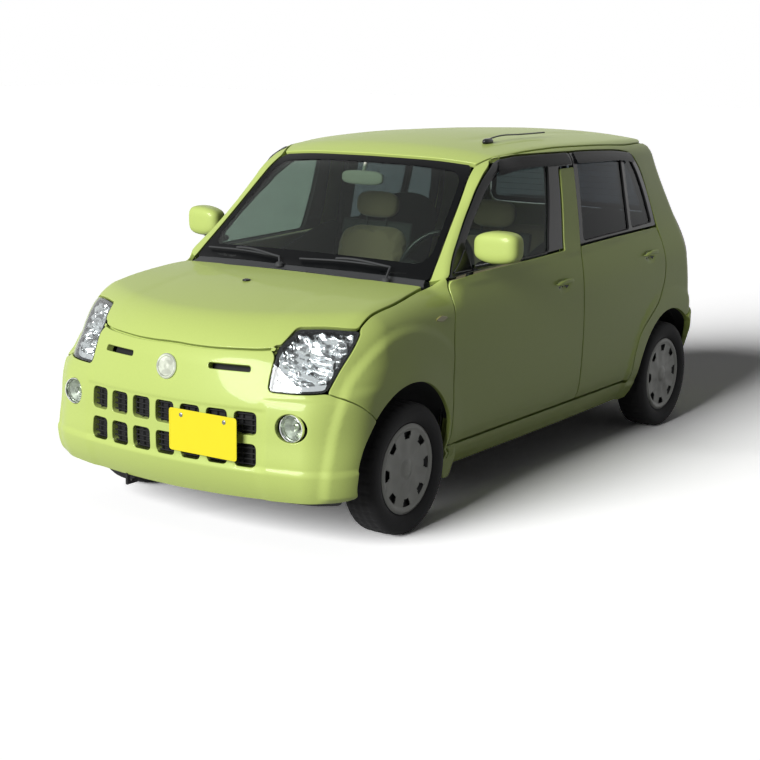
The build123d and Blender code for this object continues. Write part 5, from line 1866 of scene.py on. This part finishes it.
@dataclass
class Wheels:
    """Tyres with moulded tread and walls, steel rims and pressed wheel covers with eight windows."""

    materials: Materials
    half: float = .0765
    spokes: int = 8

    def tyre(self, x: float, y: float) -> Shell:
        """One tyre: a grid of angle by profile, its tread sunk by grooves, ribs and cross cuts."""
        profile = np.array([(-.0500, .1700), (-.0535, .1780), (-.0590, .1850), (-.0700, .1980),
            (-.0755, .2140), (-.0765, .2280), (-.0745, .2420), (-.0690, .2540), (-.0600, .2612),
            (-.0520, .2638), (-.0400, .2652), (-.0200, .2658), (0, .2660)])
        profile = np.concatenate([profile, profile[-2::-1] * (-1, 1)])
        across = resample(profile, .0085)
        n = 6 * TREAD
        t = np.linspace(0, 2 * math.pi, n, endpoint=False)
        u, r = across[:, 0][:, None], across[:, 1][:, None]
        crown = step(.256, .262, r)
        grooves = sum(np.exp(-((u - g) / .0045)**2) for g in (-.034, 0, .034))
        phase = (np.arange(n) % 6)[None]
        cuts = ((phase == 0) & (np.abs(u) > .010)) * 1.0
        radius = r - crown * (.0060 * np.clip(grooves, 0, 1) + .0035 * cuts)
        wall = np.exp(-((r - .247) / .003)**2) + np.exp(-((r - .192) / .004)**2)
        offset = u + np.sign(u) * .0008 * wall * (np.abs(u) > .05)
        rows = np.stack([x + offset * np.ones_like(t), y + radius * np.cos(t), HUB_Z + radius * np.sin(t)],
            -1)
        shell = grid_shell(rows[:, ::-1], ring_v=True)
        bead = shell.points[-1].reshape(rows.shape)[0]
        ids = np.arange(shell.count).reshape(rows.shape[:2])
        way = -(bead - np.array([0, y, HUB_Z]))
        way[:, 0] = 0
        way /= np.linalg.norm(way, axis=1, keepdims=True)
        shell.band(ids[0], ids[-1], way, way)
        return shell

    def rim(self, x: float, y: float, sign: float) -> Shell:
        """The steel rim: flanges, well, and the disc behind the cover."""
        shell = turned(((-.060, .150), (-.062, .178), (-.057, .182), (-.053, .1700), (-.040, .163),
            (-.012, .150), (.020, .150), (.040, .163), (.053, .1700), (.057, .182), (.062, .178),
            (.056, .158), (.044, .150), (.040, .120), (.030, .060), (.034, 0)), (x, y, HUB_Z), 0, sign, 72)
        return turned(((.024, 0), (.020, .060), (.030, .110), (.020, .140), (-.060, .150)), (x, y, HUB_Z),
            0, sign, 72, shell=shell)

    def cover(self, x: float, y: float, sign: float) -> Shell:
        """The cover: a dished disc whose height is a formula of radius and angle, with eight windows.

        It is high at the rim and the hub and hollow between; eight broad spokes rise 3 mm between
        the windows.
        """
        shell = Shell()
        rings = np.concatenate([np.linspace(.012, .118, 16), np.linspace(.1215, .1530, 9),
            np.linspace(.1565, .1810, 9)])
        n = self.spokes * 24
        t = np.linspace(0, 2 * math.pi, n, endpoint=False)
        r, a = rings[:, None], t[None]
        wave = np.cos(a * self.spokes)
        height = (.0600 + .0060 * step(.150, .168, r) - .0045 * step(.172, .181, r) + .0070
            * np.exp(-(r / .034)**4) - .0060 * np.exp(-((r - .095) / .045)**2) + .0032 * step(.05, .09, r)
            * step(.160, .14, r) * (wave * .5 + .5) - .0020 * np.exp(-((r - .040) / .004)**2))
        rows = np.stack([x + sign * height, y + r * np.cos(a), HUB_Z + r * np.sin(a)], -1)
        normal = np.cross(np.gradient(rows, axis=0), np.roll(rows, -1, 1) - np.roll(rows, 1, 1))
        normal /= np.maximum(np.linalg.norm(normal, axis=2, keepdims=True), 1e-12)
        normal *= np.sign(normal[..., :1]) * sign
        front = shell.add(rows.reshape(-1, 3)).reshape(len(rings), n)
        back = shell.add((rows - (sign * .003, 0, 0)).reshape(-1, 3)).reshape(len(rings), n)
        turn = (t * self.spokes / (2 * math.pi) + .5) % 1
        mid_r = (rings[:-1] + rings[1:]) / 2
        mid_t = (turn + self.spokes / n / 2) % 1
        narrow = .17 + .05 * step(.122, .150, mid_r)[:, None]
        window = (np.abs(mid_t[None] - .5) < narrow) & ((mid_r > .1215) & (mid_r < .1530))[:, None]
        i, j = np.nonzero(~window)
        k = (j + 1) % n
        quads = np.stack([front[i, j], front[i + 1, j], front[i + 1, k], front[i, k]], 1)
        ways = np.stack([normal[i, j], normal[i + 1, j], normal[i + 1, k], normal[i, k]], 1)
        shell.patch(quads, ways)
        shell.patch(np.stack([back[i, j], back[i + 1, j], back[i + 1, k], back[i, k]], 1), -ways)
        solid = ~window
        left = solid & ~np.roll(solid, 1, 1)
        right = solid & ~np.roll(solid, -1, 1)
        out = np.stack([0 * t, np.cos(t), np.sin(t)], 1)
        tangent = np.stack([0 * t, -np.sin(t), np.cos(t)], 1)
        for flag, col, way in ((left, 0, -1), (right, 1, 1)):
            i, j = np.nonzero(flag)
            k = (j + col) % n
            w = np.repeat((tangent[k] * way)[:, None], 4, 1)
            shell.patch(np.stack([front[i, k], front[i + 1, k], back[i + 1, k], back[i, k]], 1), w)
        for row_shift, way in ((0, -1), (1, 1)):
            other = np.zeros_like(solid)
            if row_shift:
                other[:-1] = solid[1:]
            else:
                other[1:] = solid[:-1]
            i, j = np.nonzero(solid & ~other)
            k, row = (j + 1) % n, i + row_shift
            w = np.repeat((out[j] * way)[:, None], 4, 1)
            shell.patch(np.stack([front[row, j], front[row, k], back[row, k], back[row, j]], 1), w)
        hub = float(height[0].mean())
        return turned(((hub, .0122), (hub + .001, .006), (hub + .0012, 0)), (x, y, HUB_Z), 0, sign, n,
            shell=shell)

    def build(self) -> None:
        """Makes and dresses all four."""
        m = self.materials
        for which, y in AXLES.items():
            for side, sign in SIDES.items():
                name, body = f"{which}_{side}", f"wheel_{which}_{side}"
                x = sign * TRACK
                put(f"tyre_body_{name}", self.tyre(x, y), m.tyre, body, [f"tyre_{name}"])
                put(f"wheel_rim_{name}", self.rim(x, y, sign), m.steel, body, [f"wheel_{name}"])
                put(f"wheel_cover_{name}", self.cover(x, y, sign), m.cover, body)


@dataclass
class Cushion:
    """One padded piece of a seat: a soft box, dished, grooved and inflated as cloth."""

    size: tuple[float, float, float]
    at: tuple[float, float, float]
    lean: float = 0.0          # degrees back about X
    power: float = 4.0
    hollow: float = .018       # how far the sitting face dips in the middle
    cap: float = .022

    def form(self) -> bpy.types.Mesh:
        """The pad before it is inflated: a rounded box, dished between two bolsters, with channels."""
        shell = pad_box((0, 0, 0), self.size, self.power, 60)
        mesh = shell.mesh("pad")
        co = np.empty(len(mesh.vertices) * 3)
        mesh.vertices.foreach_get("co", co)
        co = co.reshape(-1, 3)
        w, _, h = np.array(self.size) / 2
        top = step(.2, .9, co[:, 2] / h)
        x = np.abs(co[:, 0]) / w
        co[:, 2] -= top * self.hollow * step(.78, .55, x)
        co[:, 2] -= top * .007 * np.exp(-((x - .66) / .035)**2)
        mesh.vertices.foreach_set("co", co.ravel())
        return mesh

    def build(self, name: str, signs: Sequence[float] = (1.0,)) -> list[bpy.types.Mesh]:
        shape = inflate(self.form(), name, self.cap)
        meshes = []
        for sign in signs:
            x, y, z = self.at
            mesh = shape.copy()
            mesh.transform(Matrix.Translation((x * sign, y, z)) @ Matrix.Rotation(math.radians(self.lean),
                4, "X"))
            meshes.append(mesh)
        return meshes


def inflate(mesh: bpy.types.Mesh, name: str, cap: float) -> bpy.types.Mesh:
    """Swells a closed mesh as cloth under pressure, no point moving further than cap.

    Args:
        mesh: the slightly undersized form.
        name: name for the working object.
        cap: the largest movement, in metres.

    Returns:
        The swollen mesh.
    """
    work = bpy.data.objects.new(name + "_work", mesh)
    bpy.context.scene.collection.objects.link(work)
    remesh = work.modifiers.new("remesh", "REMESH")
    remesh.mode, remesh.voxel_size = "VOXEL", VOXEL
    depsgraph = bpy.context.evaluated_depsgraph_get()
    solid = bpy.data.meshes.new_from_object(work.evaluated_get(depsgraph))
    work.modifiers.clear()
    work.data = solid
    rest = np.empty(len(solid.vertices) * 3)
    solid.vertices.foreach_get("co", rest)
    cloth = work.modifiers.new("cloth", "CLOTH")
    cloth.settings.use_pressure = True
    cloth.settings.uniform_pressure_force = PRESSURE
    cloth.settings.effector_weights.gravity = 0.0
    cloth.settings.quality = 5
    scene = bpy.context.scene
    for frame_number in range(1, FRAMES + 1):
        scene.frame_set(frame_number)
    depsgraph = bpy.context.evaluated_depsgraph_get()
    swollen = bpy.data.meshes.new_from_object(work.evaluated_get(depsgraph))
    moved = np.empty(len(swollen.vertices) * 3)
    swollen.vertices.foreach_get("co", moved)
    by = (moved - rest).reshape(-1, 3)
    far = np.linalg.norm(by, axis=1, keepdims=True)
    by = by * np.minimum(1, cap / np.maximum(far, 1e-9))
    swollen.vertices.foreach_set("co", (rest.reshape(-1, 3) + by).ravel())
    work.modifiers.clear()
    swollen.polygons.foreach_set("use_smooth", np.ones(len(swollen.polygons), bool))
    bpy.data.objects.remove(work)
    scene.frame_set(1)
    return swollen


@dataclass
class Seats:
    """Two front seats and the rear bench: padded cushions on dark frames."""

    materials: Materials
    front_x: float = .320

    def build(self) -> None:
        """Makes and dresses them."""
        m = self.materials
        x = self.front_x
        pads = {"front_seat_cushion": Cushion((.440, .440, .095), (x, -.190, .478), 4, hollow=.016),
            "front_seat_back": Cushion((.425, .560, .085), (x, .150, .785), 78, hollow=.018),
            "front_seat_headrest": Cushion((.235, .125, .060), (x, .222, 1.140), 82, 3.0, 0.0),
            "rear_headrest": Cushion((.230, .095, .055), (.300, 1.118, 1.055), 80, 3.0, 0.0)}
        for part, pad in pads.items():
            for side, mesh in zip(SIDES, pad.build(part, list(SIDES.values()))):
                piece = put(f"{part}_{side}", mesh, m.cloth, "body")
                if part == "front_seat_cushion":
                    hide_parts("front_seats")
        for side, sign in SIDES.items():
            name = f"front_seat_frame_{side}"
            put(name, self.frame(sign * x), m.plastic, "body")
        bench = {"cushion": Cushion((1.00, .430, .090), (0, .790, .470), 3, 7.0, .008),
            "back": Cushion((1.00, .500, .080), (0, 1.035, .770), 76, 7.0, .008)}
        for part, pad in bench.items():
            name = f"rear_bench_{part}"
            piece = put(name, pad.build(name)[0], m.cloth, "body")
            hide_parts("rear_seat")
        base = prism(box_outline(.570, .950, .402, .440, .015), -.49, .49, 0, .006)
        put("rear_bench_base", base, m.carpet, "body")

    def frame(self, x: float) -> Shell:
        """Base pan, side valances, slides, back shell and headrest stalks."""
        shell = prism(box_outline(-.400, .020, .385, .430, .015), x - .205, x + .205, 0, .008)
        for dx in (-.175, .145):
            prism(box_outline(-.370, .060, .236, .300, .010), x + dx, x + dx + .030, 0, .003, shell)
        prism(box_outline(-.360, .030, .300, .388, .020), x - .185, x + .185, 0, .008, shell)
        back = closed([((.040, .450), (.110, .440)), ((.110, .440), (.238, 1.060)),
            ((.238, 1.060), (.215, 1.066)), ((.215, 1.066), (.100, .600), (.040, .450))], .012, .010)
        prism(back, x - .200, x + .200, 0, .010, shell)
        for dx in (-.055, .055):
            tube(np.array([(x + dx, .205, 1.030), (x + dx, .222, 1.125)]), .006, 12, shell)
        return shell


@dataclass
class Dashboard:
    """Dashboard, centre console, steering column and wheel, shift lever and pedals."""

    materials: Materials

    def board(self) -> Shell:
        """The dashboard: a closed profile along X whose top rises over the instruments.

        The hood over the dials adds 32 mm in a bell across the driver's side; the passenger's side
        has a shelf 20 mm deep.
        """
        x = np.linspace(-.626, .626, 97)
        base = closed([((-.696, .905), (-.620, .915), (-.545, .900)),
            ((-.535, .895), (-.470, .862), (-.452, .830)), ((-.450, .820), (-.442, .760), (-.480, .690)),
            ((-.490, .685), (-.540, .642)), ((-.545, .640), (-.696, .640)), ((-.697, .645), (-.697, .900))],
            (.020, .025, .02, .02, .01, .02), .012)
        rows = np.repeat(np.stack([np.zeros(len(base)), base[:, 0], base[:, 1]], 1)[None], len(x), 0)
        rows[..., 0] = x[:, None]
        hood = np.exp(-((x - .330) / .150)**4)[:, None]
        y, z = rows[..., 1], rows[..., 2]
        upper = step(.86, .90, z) * step(-.680, -.560, y)
        rows[..., 2] += .034 * hood * upper
        rows[..., 1] += .020 * hood * step(.84, .90, z) * step(-.62, -.50, y)
        stack = np.exp(-(x / .110)**6)[:, None]
        rows[..., 1] += .022 * stack * step(-.56, -.47, y) * step(.66, .70, z)
        shelf = step(-.10, -.16, x)[:, None] * step(-.60, -.54, x)[:, None]
        rows[..., 1] -= .045 * shelf * np.exp(-((z - .775) / .028)**4) * step(-.56, -.46, y)
        end = step(.626, .600, np.abs(x))[:, None]
        rows[..., 1] = -.600 + (rows[..., 1] + .600) * (.96 + .04 * end)
        return grid_shell(rows, ring_v=True, caps=True)

    def fittings(self) -> Shell:
        """Vents, audio face, heater knobs, dial rims, switch stalks."""
        shell = Shell()
        for x0, x1 in ((.500, .600), (.02, .095), (-.095, -.02), (-.600, -.500)):
            prism(box_outline(.815, .860, x0, x1, .010), -.470, -.452, 1, .003, shell)
            for z in np.arange(.823, .855, .009):
                tube(np.array([(x0 + .008, -.4505, z), (x1 - .008, -.4505, z)]), .0018, 6, shell)
        prism(box_outline(.745, .800, -.090, .090, .006), -.440, -.421, 1, .002, shell)
        for x in (-.06, 0, .06):
            turned(((0, .019), (.014, .017), (.016, .014), (.016, 0)), (x, -.436, .705), 1, 1, 32,
                shell=shell)
        for x, r in ((.330, .052), (.245, .030), (.412, .030)):
            turned(((0, r), (.010, r), (.012, r - .004), (.004, r - .006), (.003, 0)), (x, -.480, .888), 1,
                1, 48, shell=shell)
        for x in (-.006, .006):
            tube(np.array([(.330 + np.sign(x) * .045, -.375, .890),
                (.330 + np.sign(x) * .150, -.360, .925)]), .0065, 10, shell)
        return shell

    def column(self) -> Shell:
        """The column's shroud."""
        c, s = math.cos(math.radians(COLUMN_LEAN)), math.sin(math.radians(COLUMN_LEAN))
        rows = []
        for along, w, h in ((-.170, .048, .040), (-.150, .052, .044), (-.085, .046, .038),
            (-.062, .036, .030), (-.060, .020, .016)):
            a = np.linspace(0, 2 * math.pi, 32, endpoint=False)
            rows.append(np.stack([.330 + w * np.cos(a), -.290 + along * c - h * s * np.sin(a),
                .935 + along * s + h * c * np.sin(a)], 1))
        return grid_shell(np.array(rows), ring_v=True, caps=True)

    def wheel(self) -> Shell:
        """The steering wheel: a stitched rim, three spokes and a padded boss, made flat and then tilted."""
        shell = Shell()
        t = np.linspace(0, 2 * math.pi, 120, endpoint=False)
        grip = .0135 + .0008 * np.cos(t * 6)
        a = np.linspace(0, 2 * math.pi, 18, endpoint=False)
        r = .178 + grip[:, None] * np.cos(a)
        rows = np.stack([r * np.cos(t)[:, None], r * np.sin(t)[:, None], grip[:, None] * np.sin(a) * 1.08],
            -1)
        grid_shell(rows, ring_u=True, ring_v=True, shell=shell)
        for angle, w in ((8, .020), (172, .020), (270, .018)):
            d = math.radians(angle)
            path = np.array([(math.cos(d) * q, math.sin(d) * q, -.020 + .020 * step(.05, .17, np.array(q)))
                for q in np.linspace(.045, .170, 9)])
            side = np.array([-math.sin(d), math.cos(d), 0])
            b = np.linspace(0, 2 * math.pi, 16, endpoint=False)
            rows = (path[:, None] + side * (w * np.cos(b))[None, :, None] + np.array([0, 0, 1])
                * (.0065 * np.sin(b))[None, :, None])
            grid_shell(rows, ring_v=True, caps=True, shell=shell)
        pad_box((0, .0, -.020), (.135, .105, .048), 3.5, 40, shell)
        tilt = np.array(Matrix.Rotation(math.radians(90 - COLUMN_LEAN), 3, "X"))
        for part in shell.points:
            part[:] = part @ tilt.T + COLUMN
        for i, (faces, normals) in enumerate(shell.faces):
            shell.faces[i] = (faces, normals @ tilt.T)
        return shell

    def console(self) -> Shell:
        """The floor console, shift lever with its boot and the parking brake."""
        outline = closed([((-.560, .240), (-.555, .690)), ((-.550, .700), (-.450, .690)),
            ((-.445, .680), (-.430, .470)), ((-.420, .455), (-.210, .400)), ((-.200, .395), (-.195, .310)),
            ((-.198, .300), (-.560, .300))], (.02, .03, .04, .03, .01, .01), .012)
        shell = prism(outline, -.068, .068, 0, .012)
        turned(((0, .040), (.012, .036), (.040, .018), (.075, .012), (.078, .0)), (0, -.360, .425), 2, 1,
            28, shell=shell)
        tube(np.array([(0, -.360, .49), (0, -.352, .545)]), .007, 12, shell)
        pad_box((0, -.350, .575), (.040, .048, .075), 2.6, 28, shell)
        tube(resample(np.array([(.0, -.06, .395), (.0, -.13, .445), (.0, -.235, .475)]), .02), .015, 12,
            shell)
        return shell

    def build(self) -> None:
        """Makes and dresses them."""
        m = self.materials
        put("dashboard_board", self.board(), m.plastic, "body", ["dashboard"])
        put("dashboard_fittings", self.fittings(), m.black, "body")
        put("column_shroud", self.column(), m.plastic, "body")
        put("floor_console", self.console(), m.plastic, "body")
        put("steering_wheel_rim", self.wheel(), m.black, "steering_wheel", ["steering_wheel"])
        mirror = pad_box((0, -.372, 1.322), (.215, .030, .062), 3.4, 40)
        tube(np.array([(0, -.365, 1.345), (0, -.350, 1.385)]), .008, 12, mirror)
        put("inner_mirror", mirror, m.liner, "body")
        sun = Shell()
        for sign in (1, -1):
            path = closed([((sign * .07, -.225), (sign * .40, -.215))[::int(sign)],
                ((sign * .42, -.20), (sign * .42, -.09))[::int(sign)],
                ((sign * .40, -.075), (sign * .07, -.08))[::int(sign)]][::int(sign)], .02, .012)
            prism(path, 1.395, 1.407, 2, .004, sun)
        put("sun_visors", sun, m.liner, "body")
        pedals = Shell()
        for x in (.395, .275, .185):
            prism(box_outline(.285, .345, x - .025, x + .025, .008), -.655, -.645, 1, .003, pedals)
            tube(np.array([(x, -.655, .335), (x, -.690, .50), (x, -.675, .62)]), .006, 10, pedals)
        put("pedals", pedals, m.rubber, "body")


@dataclass
class Chassis:
    """Finishes for what is seen from below and under the bonnet, and the CAD pieces that stay."""

    materials: Materials

    def build(self) -> None:
        """Gives every CAD node that stays its finish."""
        m = self.materials
        finishes = {"floor_pan": m.steel, "centre_pillars": m.black, "engine": m.engine,
            "radiator": m.engine, "exhaust": m.bright, "fuel_tank": m.steel, "tow_eyes": m.steel,
            "front_suspension": m.steel, "rear_axle": m.steel, "knuckle_left": m.bright,
            "knuckle_right": m.bright}
        for name, finish in finishes.items():
            node = bpy.data.objects[name]
            for slot in node.material_slots:
                slot.material = finish
            if not node.material_slots:
                node.data.materials.append(finish)
            LOG.info("%s: finished", name)


@dataclass
class Studio:
    """Floor, lights and camera."""

    at: tuple[float, float, float] = (4.137, -6.344, 1.933)
    yaw: float = 34.02
    pitch: float = 11.77
    roll: float = .78
    lens: float = 78.44
    fill: float = .06
    floor_white: float = 1.32
    floor_bounce: float = .14

    def sun(self, name: str, towards: Sequence[float], width: float, power: float) -> None:
        """A soft far light, seen in a direction and so many degrees wide."""
        data = bpy.data.lights.new(name, "SUN")
        data.angle, data.energy = math.radians(width), power
        lamp = bpy.data.objects.new(name, data)
        bpy.context.scene.collection.objects.link(lamp)
        lamp.rotation_euler = Vector(towards).to_track_quat("Z", "Y").to_euler()

    def surround(self, scene: bpy.types.Scene) -> None:
        """A dim even surround for the light, white where the camera, gloss or glass sees it."""
        world = bpy.data.worlds.new("studio")
        scene.world = world
        world.use_nodes = True
        tree = world.node_tree
        back = tree.nodes["Background"]
        back.inputs[0].default_value = (1, 1, 1, 1)
        path = tree.nodes.new("ShaderNodeLightPath")
        seen = path.outputs["Is Camera Ray"]
        for ray in ("Is Glossy Ray", "Is Transmission Ray"):
            most = tree.nodes.new("ShaderNodeMath")
            most.operation = "MAXIMUM"
            tree.links.new(seen, most.inputs[0])
            tree.links.new(path.outputs[ray], most.inputs[1])
            seen = most.outputs[0]
        level = tree.nodes.new("ShaderNodeMapRange")
        tree.links.new(seen, level.inputs["Value"])
        level.inputs["To Min"].default_value, level.inputs["To Max"].default_value = self.fill, 1.0
        tree.links.new(level.outputs[0], back.inputs[1])

    def build(self) -> None:
        """Makes the studio."""
        scene = bpy.context.scene
        scene.view_settings.view_transform = "Standard"
        g = Graph("studio_floor")
        path = g.node("LightPath").outputs
        seen = g.node("Math", {0: path["Is Camera Ray"], 1: path["Is Glossy Ray"]},
            operation="MAXIMUM").outputs[0]
        seen = g.node("Math", {0: seen, 1: path["Is Transmission Ray"]}, operation="MAXIMUM").outputs[0]
        level = g.span(seen, self.floor_bounce, self.floor_white)
        grey = g.node("CombineColor", {"Red": level, "Green": level, "Blue": level}).outputs[0]
        g.principled(Base_Color=grey, Roughness=g.span(g.noise(3.0, 3.0), .70, .85), Specular_IOR_Level=0.0)
        floor = bpy.data.meshes.new("studio_floor")
        floor.from_pydata([(-40, -40, 0), (40, -40, 0), (40, 40, 0), (-40, 40, 0)], [], [(0, 1, 2, 3)])
        floor.materials.append(g.material)
        piece = bpy.data.objects.new("studio_floor", floor)
        scene.collection.objects.link(piece)
        self.surround(scene)
        self.sun("key_light", (-.13, -.91, .38), 30, 5.9)
        a, e, r = (math.radians(v) for v in (self.yaw, self.pitch, self.roll))
        back_way = Vector((math.sin(a) * math.cos(e), -math.cos(a) * math.cos(e), math.sin(e)))
        right = Vector((math.cos(a), math.sin(a), 0))
        up = back_way.cross(right)
        right2, up2 = right * math.cos(r) + up * math.sin(r), up * math.cos(r) - right * math.sin(r)
        data = bpy.data.cameras.new("camera")
        data.lens, data.sensor_width = self.lens, 36.0
        camera = bpy.data.objects.new("camera", data)
        turn = Matrix((right2, up2, back_way)).transposed().to_4x4()
        camera.matrix_world = Matrix.Translation(self.at) @ turn
        scene.collection.objects.link(camera)
        scene.camera = camera


def main() -> None:
    """Builds the car and the studio."""
    logging.basicConfig(level=logging.INFO, format="%(message)s")
    materials = Materials()
    for group in (FrontPanels, Headlamps, CabinShell, Doors, Glazed, Tail, SmallParts, Wheels, Dashboard,
        Seats, Chassis):
        group(materials).build()
        LOG.info("-- %s done", group.__name__)
    Studio().build()
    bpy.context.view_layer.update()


if __name__ == "__main__":
    main()
